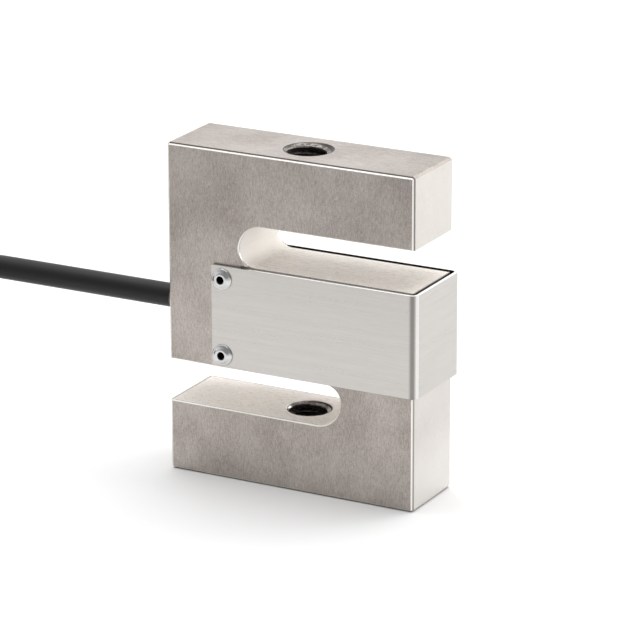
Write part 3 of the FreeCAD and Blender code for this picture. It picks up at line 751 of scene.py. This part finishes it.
nearest = add(
    tree,
    "ShaderNodeMath",
    {"operation": "MAXIMUM"},
    links={0: nearer.outputs[0], 1: sides.outputs["Z"]},
)
inside = add(
    tree,
    "ShaderNodeMath",
    {"operation": "LESS_THAN"},
    {1: 0.0},
    {0: nearest.outputs[0]},
)
faces_tone = add(
    tree,
    "ShaderNodeMix",
    {"data_type": "RGBA"},
    links={0: inside.outputs[0], 6: outer_tone.outputs[2], 7: slot_tone.outputs[2]},
)

# Painted shade with oily dirt darkens the bores and their sinks, and stops short
# of the faces round their mouths and of the slots.
mouth_gap, slot_gap = 0.01 * mm, 0.1 * mm
slot_face = body_half.z - arm_height
level_slope = 0.95
across = add(
    tree,
    "ShaderNodeVectorMath",
    {"operation": "MULTIPLY"},
    {1: (1.0, 1.0, 0.0)},
    {0: place.outputs["Object"]},
)
radius = add(
    tree,
    "ShaderNodeVectorMath",
    {"operation": "LENGTH"},
    links={0: across.outputs["Vector"]},
)
bored = add(
    tree,
    "ShaderNodeMath",
    {"operation": "LESS_THAN"},
    {1: mouth_radius - mouth_gap},
    {0: radius.outputs["Value"]},
)
sloping = add(
    tree,
    "ShaderNodeMath",
    {"operation": "LESS_THAN"},
    {1: level_slope},
    {0: split.outputs["Z"]},
)
levels = add(tree, "ShaderNodeSeparateXYZ", links={"Vector": apart.outputs["Vector"]})
in_arm = add(
    tree,
    "ShaderNodeMath",
    {"operation": "GREATER_THAN"},
    {1: slot_face + slot_gap},
    {0: levels.outputs["Z"]},
)
arm_bore = add(
    tree,
    "ShaderNodeMath",
    {"operation": "MULTIPLY"},
    links={0: bored.outputs[0], 1: in_arm.outputs[0]},
)
bore_wall = add(
    tree,
    "ShaderNodeMath",
    {"operation": "MULTIPLY"},
    links={0: arm_bore.outputs[0], 1: sloping.outputs[0]},
)
sink_shade_and_dirt = add(
    tree,
    "ShaderNodeMapRange",
    inputs={"From Min": 0.3, "From Max": 0.8, "To Min": 0.9, "To Max": 0.93},
    links={"Value": split.outputs["Z"]},
)
oil_and_shade = add(
    tree,
    "ShaderNodeMath",
    {"operation": "MULTIPLY"},
    links={0: bore_wall.outputs[0], 1: sink_shade_and_dirt.outputs["Result"]},
)
bored_tone = add(
    tree,
    "ShaderNodeMix",
    {"data_type": "RGBA"},
    {7: linear("38332f")},
    {0: oil_and_shade.outputs[0], 6: faces_tone.outputs[2]},
)

# A broken edge slopes at 45 degrees. Its outer half carries a painted highlight,
# and its other half painted shade, made paler low down and on the upright edges.
edge_slope, slope_play = 0.7, 0.15
shade_paler_from, shade_paler_to = 40 * mm, 20 * mm
faces_sideways, upright_shade_easing = 0.5, 0.6
edge = add(
    tree,
    "ShaderNodeMath",
    {"operation": "COMPARE"},
    {1: edge_slope, 2: slope_play},
    {0: split.outputs["Y"]},
)
outermost = add(
    tree,
    "ShaderNodeMath",
    {"operation": "GREATER_THAN"},
    {1: 0.0},
    {0: sides.outputs["Y"]},
)
broken_edge = add(
    tree,
    "ShaderNodeMath",
    {"operation": "MULTIPLY"},
    links={0: edge.outputs[0], 1: outermost.outputs[0]},
)
lit_half = add(
    tree,
    "ShaderNodeMath",
    {"operation": "GREATER_THAN"},
    {1: 0.5 * edge_break},
    {0: sides.outputs["Y"]},
)
shade_paler_low = add(
    tree,
    "ShaderNodeMapRange",
    inputs={"From Min": shade_paler_from, "From Max": shade_paler_to},
    links={"Value": heights.outputs["Z"]},
)
upright_edge = add(
    tree,
    "ShaderNodeMath",
    {"operation": "GREATER_THAN"},
    {1: faces_sideways},
    {0: split.outputs["X"]},
)
# Painted shade on the dark half is eased paler low down and on the upright edges.
shade_easing = add(
    tree,
    "ShaderNodeMath",
    {"operation": "MULTIPLY_ADD", "use_clamp": True},
    {1: upright_shade_easing},
    {0: upright_edge.outputs[0], 2: shade_paler_low.outputs["Result"]},
)
painted_shade_tone = add(
    tree,
    "ShaderNodeMix",
    {"data_type": "RGBA"},
    {6: linear("5f5a56"), 7: linear("a39d97")},
    {0: shade_easing.outputs[0]},
)
painted_edge_tone = add(
    tree,
    "ShaderNodeMix",
    {"data_type": "RGBA"},
    {7: linear("f4f1ec")},
    {0: lit_half.outputs[0], 6: painted_shade_tone.outputs[2]},
)
tone = add(
    tree,
    "ShaderNodeMix",
    {"data_type": "RGBA"},
    links={0: broken_edge.outputs[0], 6: bored_tone.outputs[2], 7: painted_edge_tone.outputs[2]},
)

# The ground faces are half bright. The milled ones in the slots are rougher by
# this much, so that they look matt.
milled_rougher = 0.5
polish = add(
    tree,
    "ShaderNodeMapRange",
    inputs={"From Min": 0.3, "From Max": 0.7, "To Min": 0.44, "To Max": 0.34},
    links={"Value": cloud.outputs["Fac"]},
)
gloss = add(
    tree,
    "ShaderNodeMath",
    {"operation": "MULTIPLY_ADD"},
    {1: milled_rougher},
    {0: inside.outputs[0], 2: polish.outputs["Result"]},
)
bump = add(
    tree,
    "ShaderNodeBump",
    inputs={"Strength": 0.5, "Distance": 0.01 * mm},
    links={"Height": fine.outputs[0]},
)
shader.inputs["Metallic"].default_value = 1.0
tree.links.new(tone.outputs[2], shader.inputs["Base Color"])
tree.links.new(gloss.outputs[0], shader.inputs["Roughness"])
tree.links.new(bump.outputs["Normal"], shader.inputs["Normal"])
dress("spring_body", steel)


# Mounting threads. An M8 thread of 1.25 mm pitch is tapped through each arm;
# the bores' walls carry its outer diameter, and these ridges stand in from it.
def thread_ridge(name, low, high, low_ring, high_ring):
    """A right-handed ridge that winds up a bore and runs out over both sinks.

    Its profile gives how far each corner stands in and its place along the pitch.
    """
    major, minor, pitch = 4.0 * mm, 3.35 * mm, 1.25 * mm
    profile = ((0.0, -0.35), (1.0, -0.1), (1.0, 0.1), (0.0, 0.35))
    buried = 0.05 * mm
    end_gap, run_out = 0.15 * pitch, 0.3
    sink_slope = math.tan(math.radians(60))
    steps = 64
    start = low + end_gap
    count = int((high - low - 2 * end_gap) / pitch * steps)
    verts = []
    faces = []
    for k in range(count + 1):
        angle = 2 * math.pi * k / steps
        full = min(min(k, count - k) / (run_out * steps), 1.0)
        for rise, lift in profile:
            height = start + pitch * (k / steps + lift)
            height = min(max(height, low + buried), high - buried)
            low_wall = low_ring - (height - low) * sink_slope
            high_wall = high_ring - (high - height) * sink_slope
            root = max(major, low_wall, high_wall) + buried
            radius = root - (major + buried - minor) * full * rise
            verts.append((radius * math.cos(angle), radius * math.sin(angle), height))
        if k:
            for j in range(len(profile) - 1):
                here = len(profile) * k + j
                before = here - len(profile)
                faces.append((before, here, here + 1, before + 1))
    mesh = bpy.data.meshes.new(name)
    mesh.from_pydata(verts, [], faces)
    return smoothed(mesh, 20)


# Cut steel with cutting oil left on it: pale, patchy crests, and painted shade
# with oily dirt on the flanks, so that the turns show as light lines.
tapped, tree, shader = material("tapped_oiled_steel")
place = add(tree, "ShaderNodeTexCoord")
oil = add(
    tree,
    "ShaderNodeTexNoise",
    inputs={"Scale": 1 / (0.7 * mm), "Detail": 4.0, "Roughness": 0.7},
    links={"Vector": place.outputs["Object"]},
)
facing = add(tree, "ShaderNodeNewGeometry")
split = add(tree, "ShaderNodeSeparateXYZ", links={"Vector": facing.outputs["Normal"]})
slope = add(
    tree, "ShaderNodeMath", {"operation": "ABSOLUTE"}, links={0: split.outputs["Z"]}
)
oil_shade_patches = add(
    tree,
    "ShaderNodeMapRange",
    inputs={"From Min": 0.45, "From Max": 0.65, "To Min": 1.0, "To Max": 0.6},
    links={"Value": oil.outputs["Fac"]},
)
flank_shade = add(
    tree,
    "ShaderNodeMapRange",
    inputs={"From Min": 0.2, "From Max": 0.6, "To Max": 0.83},
    links={"Value": slope.outputs[0]},
)
oil_and_shade = add(
    tree,
    "ShaderNodeMath",
    {"operation": "MULTIPLY"},
    links={0: flank_shade.outputs["Result"], 1: oil_shade_patches.outputs["Result"]},
)
patches = add(
    tree,
    "ShaderNodeMapRange",
    inputs={"From Min": 0.42, "From Max": 0.66},
    links={"Value": oil.outputs["Fac"]},
)
cut_tone = add(
    tree,
    "ShaderNodeMix",
    {"data_type": "RGBA"},
    {6: linear("b3aba4"), 7: linear("f6f2ee")},
    {0: patches.outputs["Result"]},
)
tone = add(
    tree,
    "ShaderNodeMix",
    {"data_type": "RGBA"},
    {7: linear("3a332d")},
    {0: oil_and_shade.outputs[0], 6: cut_tone.outputs[2]},
)
bump = add(
    tree,
    "ShaderNodeBump",
    inputs={"Strength": 0.4, "Distance": 0.03 * mm},
    links={"Height": oil.outputs["Fac"]},
)
shader.inputs["Metallic"].default_value = 1.0
shader.inputs["Roughness"].default_value = 0.33
tree.links.new(tone.outputs[2], shader.inputs["Base Color"])
tree.links.new(bump.outputs["Normal"], shader.inputs["Normal"])
slot_mouth_radius = 4.45 * mm
lower_ridge = thread_ridge(
    "lower_thread",
    body_low.z,
    body_low.z + arm_height,
    mouth_radius,
    slot_mouth_radius,
)
upper_ridge = thread_ridge(
    "upper_thread",
    body_high.z - arm_height,
    body_high.z,
    slot_mouth_radius,
    mouth_radius,
)
put("lower_thread", lower_ridge, tapped, "nickel_plated_steel")
put("upper_thread", upper_ridge, tapped, "nickel_plated_steel")


# Cover. One strip of 0.6 mm stainless sheet folded twice round the bar, brushed
# along its length. The folds carry painted shade and, beyond it, a painted
# highlight line, the sheared edges a painted highlight, and the inner side
# painted shade.
brushed, tree, shader = material("brushed_stainless_sheet")
place = add(tree, "ShaderNodeTexCoord")

# The brush's strokes are about 0.05 mm wide and are drawn 0.14 mm wide, because
# finer ones don't show. Wider, fainter bands lie among them.
strokes = []
for across, along in ((0.14, 5.0), (0.9, 30.0)):
    stretch = add(
        tree,
        "ShaderNodeMapping",
        inputs={"Scale": (1 / (along * mm), 1 / (along * mm), 1 / (across * mm))},
        links={"Vector": place.outputs["Object"]},
    )
    strokes.append(
        add(
            tree,
            "ShaderNodeTexNoise",
            inputs={"Scale": 1.0, "Detail": 3.0, "Roughness": 0.65},
            links={"Vector": stretch.outputs["Vector"]},
        )
    )
both = add(
    tree,
    "ShaderNodeMath",
    {"operation": "ADD"},
    links={0: strokes[0].outputs["Fac"], 1: strokes[1].outputs["Fac"]},
)
tone_share = add(
    tree,
    "ShaderNodeMapRange",
    inputs={"From Min": 0.7, "From Max": 1.3},
    links={"Value": both.outputs[0]},
)
tone = add(
    tree,
    "ShaderNodeMix",
    {"data_type": "RGBA"},
    {6: linear("c3bfbb"), 7: linear("d0ccc8")},
    {0: tone_share.outputs["Result"]},
)
gloss = add(
    tree,
    "ShaderNodeMapRange",
    inputs={"From Min": 0.7, "From Max": 1.3, "To Min": 0.26, "To Max": 0.36},
    links={"Value": both.outputs[0]},
)
bump = add(
    tree,
    "ShaderNodeBump",
    inputs={"Strength": 0.4, "Distance": 0.006 * mm},
    links={"Height": strokes[0].outputs["Fac"]},
)

# Round the fold the sheet carries a painted shade band, and a painted highlight
# line near the bend's end. The ramp and the line go by how far the surface faces
# the cover's end.
line_at, line_half = 0.88, 0.1
facing = add(tree, "ShaderNodeNewGeometry")
split = add(tree, "ShaderNodeSeparateXYZ", links={"Vector": facing.outputs["Normal"]})
fold_shade_ramp = add(tree, "ShaderNodeValToRGB", links={"Fac": split.outputs["X"]})
fold_shade_share = fold_shade_ramp.color_ramp
fold_shade_share.elements[0].position = 0.03
fold_shade_share.elements[0].color = (0, 0, 0, 1)
fold_shade_share.elements[1].position = 0.78
fold_shade_share.elements[1].color = (0, 0, 0, 1)
for position, share in ((0.3, 1.0), (0.6, 1.0), (0.98, 0.25)):
    fold_shade_share.elements.new(position).color = (share, share, share, 1)
painted_fold_shade = add(
    tree,
    "ShaderNodeMix",
    {"data_type": "RGBA"},
    {7: linear("8d8986")},
    {0: fold_shade_ramp.outputs["Color"], 6: tone.outputs[2]},
)
fold_highlight_line = add(
    tree,
    "ShaderNodeMath",
    {"operation": "COMPARE"},
    {1: line_at, 2: line_half},
    {0: split.outputs["X"]},
)
painted_fold_tone = add(
    tree,
    "ShaderNodeMix",
    {"data_type": "RGBA"},
    {7: linear("dddbd8")},
    {0: fold_highlight_line.outputs[0], 6: painted_fold_shade.outputs[2]},
)

# The sheared edges face up and down and carry a painted highlight. The inner
# side faces the cover's middle and carries painted shade.
aside = add(
    tree,
    "ShaderNodeVectorMath",
    {"operation": "ABSOLUTE"},
    links={0: facing.outputs["Normal"]},
)
slopes = add(tree, "ShaderNodeSeparateXYZ", links={"Vector": aside.outputs["Vector"]})
sheared = add(
    tree,
    "ShaderNodeMath",
    {"operation": "GREATER_THAN"},
    {1: faces_squarely},
    {0: slopes.outputs["Z"]},
)
edge_highlight_tone = add(
    tree,
    "ShaderNodeMix",
    {"data_type": "RGBA"},
    {7: linear("fbf9f6")},
    {0: sheared.outputs[0], 6: painted_fold_tone.outputs[2]},
)
cover_low, cover_high = (Vector(corner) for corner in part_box("cover_sheet"))
outwards = add(
    tree,
    "ShaderNodeVectorMath",
    {"operation": "SUBTRACT"},
    {1: tuple((cover_low + cover_high) / 2)},
    {0: place.outputs["Object"]},
)
turned_out = add(
    tree,
    "ShaderNodeVectorMath",
    {"operation": "DOT_PRODUCT"},
    links={0: facing.outputs["Normal"], 1: outwards.outputs["Vector"]},
)
inner_side = add(
    tree,
    "ShaderNodeMath",
    {"operation": "LESS_THAN"},
    {1: 0.0},
    {0: turned_out.outputs["Value"]},
)
# The inner side is painted dark, as painted shade in the gaps behind the bar.
sheet_tone = add(
    tree,
    "ShaderNodeMix",
    {"data_type": "RGBA"},
    {7: linear("2b2826")},
    {0: inner_side.outputs[0], 6: edge_highlight_tone.outputs[2]},
)
shader.inputs["Metallic"].default_value = 1.0
tree.links.new(sheet_tone.outputs[2], shader.inputs["Base Color"])
tree.links.new(gloss.outputs["Result"], shader.inputs["Roughness"])
tree.links.new(bump.outputs["Normal"], shader.inputs["Normal"])
dress("cover_sheet", brushed)


# Cover pads. Calendered rubber sheet, matt black with a little pale dust, is cut
# to size and seats the cover's riveted ends on the block. The back one is
# thicker, which leaves a dark gap behind the bar.
rubber, tree, shader = material("calendered_black_rubber")
place = add(tree, "ShaderNodeTexCoord")
dust = add(
    tree,
    "ShaderNodeTexNoise",
    inputs={"Scale": 1 / (0.8 * mm), "Detail": 5.0, "Roughness": 0.7},
    links={"Vector": place.outputs["Object"]},
)
tone = add(
    tree,
    "ShaderNodeMix",
    {"data_type": "RGBA"},
    {6: linear("121213"), 7: linear("2b2a2a")},
    {0: dust.outputs["Fac"]},
)
bump = add(
    tree,
    "ShaderNodeBump",
    inputs={"Strength": 0.4, "Distance": 0.05 * mm},
    links={"Height": dust.outputs["Fac"]},
)
shader.inputs["Roughness"].default_value = 0.75
tree.links.new(tone.outputs[2], shader.inputs["Base Color"])
tree.links.new(bump.outputs["Normal"], shader.inputs["Normal"])
dress("cover_pad_front", rubber)
dress("cover_pad_back", rubber)


# Rivets. Four blind rivets of 3.2 mm hold the cover to the bar: an aluminium
# sleeve with a pressed dome, and a steel mandrel that broke off inside it.

# Pressed aluminium: bright and smooth, with small scuffs from the setting tool.
aluminium, tree, shader = material("pressed_aluminium")
place = add(tree, "ShaderNodeTexCoord")
scuffs = add(
    tree,
    "ShaderNodeTexNoise",
    inputs={"Scale": 1 / (0.6 * mm), "Detail": 5.0, "Roughness": 0.65},
    links={"Vector": place.outputs["Object"]},
)
tone = add(
    tree,
    "ShaderNodeMix",
    {"data_type": "RGBA"},
    {6: linear("bcbdbe"), 7: linear("e6e6e5")},
    {0: scuffs.outputs["Fac"]},
)
gloss = add(
    tree,
    "ShaderNodeMapRange",
    inputs={"From Min": 0.3, "From Max": 0.7, "To Min": 0.16, "To Max": 0.28},
    links={"Value": scuffs.outputs["Fac"]},
)
bump = add(
    tree,
    "ShaderNodeBump",
    inputs={"Strength": 0.35, "Distance": 0.03 * mm},
    links={"Height": scuffs.outputs["Fac"]},
)
shader.inputs["Metallic"].default_value = 1.0
tree.links.new(tone.outputs[2], shader.inputs["Base Color"])
tree.links.new(gloss.outputs["Result"], shader.inputs["Roughness"])
tree.links.new(bump.outputs["Normal"], shader.inputs["Normal"])

# Broken steel: a coarse break, painted near black as shade deep in the dome. The
# rivets' bore walls take it too, as painted shade.
break_and_bore_shade, tree, shader = material("broken_steel_and_painted_bore_shade")
place = add(tree, "ShaderNodeTexCoord")
break_grain = add(
    tree,
    "ShaderNodeTexVoronoi",
    inputs={"Scale": 1 / (0.15 * mm)},
    links={"Vector": place.outputs["Object"]},
)
tone = add(
    tree,
    "ShaderNodeMix",
    {"data_type": "RGBA"},
    {6: linear("151413"), 7: linear("3a3836")},
    {0: break_grain.outputs["Distance"]},
)
bump = add(
    tree,
    "ShaderNodeBump",
    inputs={"Strength": 0.8, "Distance": 0.06 * mm},
    links={"Height": break_grain.outputs["Distance"]},
)
shader.inputs["Metallic"].default_value = 1.0
shader.inputs["Roughness"].default_value = 0.55
tree.links.new(tone.outputs[2], shader.inputs["Base Color"])
tree.links.new(bump.outputs["Normal"], shader.inputs["Normal"])

head_radius, head_rise = 2.075 * mm, 0.7 * mm
bore_radius, shank_radius, shank_length = 0.675 * mm, 1.6 * mm, 4.8 * mm
rivet_profile = [
    (bore_radius, -shank_length),
    (shank_radius, -shank_length),
    (shank_radius, 0.0),
    (0.97 * head_radius, 0.0),
]
for across, up in (
    (1.0, 0.12), (0.995, 0.26), (0.96, 0.38), (0.88, 0.48),
    (0.78, 0.58), (0.70, 0.74), (0.63, 0.89), (0.55, 0.97), (0.47, 1.0),
):
    rivet_profile.append((across * head_radius, up * head_rise))
rivet_profile += [
    (bore_radius + 0.1 * mm, head_rise - 0.01 * mm),
    (bore_radius + 0.02 * mm, head_rise - 0.08 * mm),
    (bore_radius, head_rise - 0.2 * mm),
]
for side, outwards in (("front", -1), ("back", 1)):
    for spot in ("upper", "lower"):
        low, high = (Vector(corner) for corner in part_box(f"rivet_{side}_{spot}"))
        middle = (low + high) / 2
        crown = low.y if side == "front" else high.y
        seat = Vector((middle.x, crown - outwards * head_rise, middle.z))
        rivet_mesh = turned(
            f"rivet_{side}_{spot}",
            rivet_profile,
            seat,
            (0, outwards, 0),
            segments=48,
            closed=True,
        )
        put(
            f"blind_rivet_{side}_{spot}",
            smoothed(rivet_mesh, 40),
            aluminium,
            "rivet_metal",
            f"rivet_{side}_{spot}",
        )
        rivet_mesh.materials.append(break_and_bore_shade)
        # Faces round the bore take the near-black break as painted shade.
        for face in rivet_mesh.polygons:
            away = face.center - seat
            away.y = 0.0
            face.material_index = 1 if away.length < bore_radius + 0.07 * mm else 0
        dress(f"mandrel_{side}_{spot}", break_and_bore_shade)


# Ferrule. A turned brass tube, pressed into the side of the block, that grips
# the jacket. Its nickel flash has dulled to a brown grey, and the rings from the
# tool are drawn 0.35 mm apart, wider than real ones, so that they show.
dull_brass, tree, shader = material("turned_dull_plated_brass")
place = add(tree, "ShaderNodeTexCoord")
tool_marks = add(
    tree,
    "ShaderNodeTexWave",
    {"wave_type": "BANDS", "bands_direction": "X", "wave_profile": "SIN"},
    {"Scale": wave_repeat / (0.35 * mm), "Distortion": 0.6, "Detail": 2.0},
    {"Vector": place.outputs["Object"]},
)
tarnish = add(
    tree,
    "ShaderNodeTexNoise",
    inputs={"Scale": 1 / (1.5 * mm), "Detail": 4.0},
    links={"Vector": place.outputs["Object"]},
)
tone = add(
    tree,
    "ShaderNodeMix",
    {"data_type": "RGBA"},
    {6: linear("6f665f"), 7: linear("8a8179")},
    {0: tarnish.outputs["Fac"]},
)
bump = add(
    tree,
    "ShaderNodeBump",
    inputs={"Strength": 0.4, "Distance": 0.02 * mm},
    links={"Height": tool_marks.outputs["Fac"]},
)
shader.inputs["Metallic"].default_value = 1.0
shader.inputs["Roughness"].default_value = 0.45
tree.links.new(tone.outputs[2], shader.inputs["Base Color"])
tree.links.new(bump.outputs["Normal"], shader.inputs["Normal"])
dress("cable_ferrule", dull_brass)


# Sensing parts. Foil gauges are glued to the web at 45 degrees, with solder
# terminals and a small trimming resistor, and potted under soft silicone.

# Etched foil on polyimide: grey lines on an amber film. They are drawn 0.3 mm
# apart, wider than real ones, so that they show.
line_share = 0.5
foil_grid, tree, shader = material("etched_constantan_foil_on_polyimide")
place = add(tree, "ShaderNodeTexCoord")
slant = add(
    tree,
    "ShaderNodeMapping",
    inputs={"Rotation": (0.0, math.radians(45), 0.0)},
    links={"Vector": place.outputs["Object"]},
)
grid = add(
    tree,
    "ShaderNodeTexWave",
    {"wave_type": "BANDS", "bands_direction": "Z", "wave_profile": "SIN"},
    {"Scale": wave_repeat / (0.3 * mm)},
    {"Vector": slant.outputs["Vector"]},
)
lines = add(
    tree,
    "ShaderNodeMath",
    {"operation": "GREATER_THAN"},
    {1: line_share},
    {0: grid.outputs["Fac"]},
)
tone = add(
    tree,
    "ShaderNodeMix",
    {"data_type": "RGBA"},
    {6: linear("a8702a"), 7: linear("b9b0a4")},
    {0: lines.outputs[0]},
)
tree.links.new(lines.outputs[0], shader.inputs["Metallic"])
tree.links.new(tone.outputs[2], shader.inputs["Base Color"])
shader.inputs["Roughness"].default_value = 0.35

# Tinned copper: bright grey pads, uneven where the solder flowed.
solder, tree, shader = material("tinned_copper_terminal")
place = add(tree, "ShaderNodeTexCoord")
pads = add(
    tree,
    "ShaderNodeTexNoise",
    inputs={"Scale": 1 / (0.8 * mm), "Detail": 2.0},
    links={"Vector": place.outputs["Object"]},
)
tone = add(
    tree,
    "ShaderNodeMix",
    {"data_type": "RGBA"},
    {6: linear("9a9a98"), 7: linear("cccbc8")},
    {0: pads.outputs["Fac"]},
)
bump = add(
    tree,
    "ShaderNodeBump",
    inputs={"Strength": 0.6, "Distance": 0.08 * mm},
    links={"Height": pads.outputs["Fac"]},
)
shader.inputs["Metallic"].default_value = 1.0
shader.inputs["Roughness"].default_value = 0.3
tree.links.new(tone.outputs[2], shader.inputs["Base Color"])
tree.links.new(bump.outputs["Normal"], shader.inputs["Normal"])

# Glazed alumina: dark and smooth, with a soft shine.
ceramic, tree, shader = material("glazed_alumina_resistor")
place = add(tree, "ShaderNodeTexCoord")
glaze = add(
    tree,
    "ShaderNodeTexNoise",
    inputs={"Scale": 1 / (0.5 * mm), "Detail": 4.0},
    links={"Vector": place.outputs["Object"]},
)
tone = add(
    tree,
    "ShaderNodeMix",
    {"data_type": "RGBA"},
    {6: linear("1d2023"), 7: linear("33373b")},
    {0: glaze.outputs["Fac"]},
)
tree.links.new(tone.outputs[2], shader.inputs["Base Color"])
shader.inputs["Roughness"].default_value = 0.3

# Cast silicone: milky white and soft, with a slightly rippled skin.
silicone, tree, shader = material("cast_white_silicone")
place = add(tree, "ShaderNodeTexCoord")
ripple = add(
    tree,
    "ShaderNodeTexNoise",
    inputs={"Scale": 1 / (4 * mm), "Detail": 2.0},
    links={"Vector": place.outputs["Object"]},
)
tone = add(
    tree,
    "ShaderNodeMix",
    {"data_type": "RGBA"},
    {6: linear("cfcfca"), 7: linear("e3e3df")},
    {0: ripple.outputs["Fac"]},
)
bump = add(
    tree,
    "ShaderNodeBump",
    inputs={"Strength": 0.4, "Distance": 0.2 * mm},
    links={"Height": ripple.outputs["Fac"]},
)
shader.inputs["Roughness"].default_value = 0.35
shader.inputs["Subsurface Weight"].default_value = 0.2
shader.inputs["Subsurface Scale"].default_value = 1.0 * mm
tree.links.new(tone.outputs[2], shader.inputs["Base Color"])
tree.links.new(bump.outputs["Normal"], shader.inputs["Normal"])
for side in ("front", "back"):
    dress(f"terminal_{side}", solder)
    dress(f"sealant_{side}", silicone)
    for spot in ("upper", "lower"):
        dress(f"gauge_{side}_{spot}", foil_grid)
dress("balance_resistor", ceramic)


# Floor and light. A white seamless sheet in a pale room, both greyer towards the
# front, with soft boxes above, behind and to the right.
reach, drop = 6, 0.02 * mm
floor_mesh = bpy.data.meshes.new("floor")
floor_mesh.from_pydata(
    [(-reach, -reach, 0), (reach, -reach, 0), (reach, reach, 0), (-reach, reach, 0)],
    [],
    [(0, 1, 2, 3)],
)
floor = bpy.data.objects.new("floor", floor_mesh)
floor.location.z = -drop
scene.collection.objects.link(floor)

# Seamless paper: white and quite matt, so that it shows the part's shadow alone.
# The steel's front face reflects the greyer part in front. The paper's faint glow
# shows directly, in reflections and through glass alike, and lights nothing.
grey_from, grey_to = -0.1, -0.22
glow = 0.02
paper, tree, shader = material("white_seamless_paper")
shader.inputs["Roughness"].default_value = 0.95
shader.inputs["Specular IOR Level"].default_value = 0.1
place = add(tree, "ShaderNodeTexCoord")
split = add(tree, "ShaderNodeSeparateXYZ", links={"Vector": place.outputs["Object"]})
front_share = add(
    tree,
    "ShaderNodeMapRange",
    {"interpolation_type": "SMOOTHSTEP"},
    {"From Min": grey_from, "From Max": grey_to},
    {"Value": split.outputs["Y"]},
)
tone = add(
    tree,
    "ShaderNodeMix",
    {"data_type": "RGBA"},
    {6: linear("f5f5f5"), 7: linear("c4c4c4")},
    {0: front_share.outputs["Result"]},
)
tree.links.new(tone.outputs[2], shader.inputs["Base Color"])
path = add(tree, "ShaderNodeLightPath")
direct = add(
    tree,
    "ShaderNodeMath",
    {"operation": "MAXIMUM"},
    links={0: path.outputs["Is Camera Ray"], 1: path.outputs["Is Glossy Ray"]},
)
clear = add(
    tree,
    "ShaderNodeMath",
    {"operation": "MAXIMUM"},
    links={0: direct.outputs[0], 1: path.outputs["Is Transmission Ray"]},
)
lift = add(
    tree,
    "ShaderNodeMath",
    {"operation": "MULTIPLY"},
    {1: glow},
    {0: clear.outputs[0]},
)
tree.links.new(lift.outputs[0], shader.inputs["Emission Strength"])
shader.inputs["Emission Color"].default_value = linear("ffffff")
floor_mesh.materials.append(paper)

# The room's walls are pale, and greyer towards the front.
front_way = (0.475, -0.88, 0.0)
world = bpy.data.worlds.new("room")
scene.world = world
world.use_nodes = True
tree = world.node_tree
tree.nodes.clear()
around = add(tree, "ShaderNodeTexCoord")
towards_front = add(
    tree,
    "ShaderNodeVectorMath",
    {"operation": "DOT_PRODUCT"},
    {1: front_way},
    {0: around.outputs["Generated"]},
)
dimming = add(
    tree,
    "ShaderNodeMapRange",
    {"interpolation_type": "SMOOTHSTEP"},
    {"From Min": -0.3, "From Max": 0.8, "To Min": 1.0, "To Max": 0.3},
    {"Value": towards_front.outputs["Value"]},
)
room = add(
    tree,
    "ShaderNodeBackground",
    inputs={"Color": linear("ffffff")},
    links={"Strength": dimming.outputs["Result"]},
)
add(tree, "ShaderNodeOutputWorld", links={"Surface": room.outputs[0]})


def soft_box(name, at, size, power):
    """A rectangular soft box that faces the part's middle."""
    data = bpy.data.lights.new(name, "AREA")
    data.shape = "RECTANGLE"
    data.size, data.size_y = size
    data.energy = power
    lamp = bpy.data.objects.new(name, data)
    lamp.location = at
    lamp.rotation_mode = "QUATERNION"
    aim = Vector((0, 0, 30 * mm)) - Vector(at)
    lamp.rotation_quaternion = aim.to_track_quat("-Z", "Y")
    lamp.visible_camera = False
    scene.collection.objects.link(lamp)


soft_box("top_box", (0.0, 0.15, 1.0), (1.1, 0.9), 7.0)
soft_box("right_box", (0.5, 0.95, 0.22), (0.8, 0.5), 4.8)
soft_box("back_box", (-0.68, 1.26, 0.5), (1.0, 0.6), 0.5)

scene.view_settings.view_transform = "Standard"
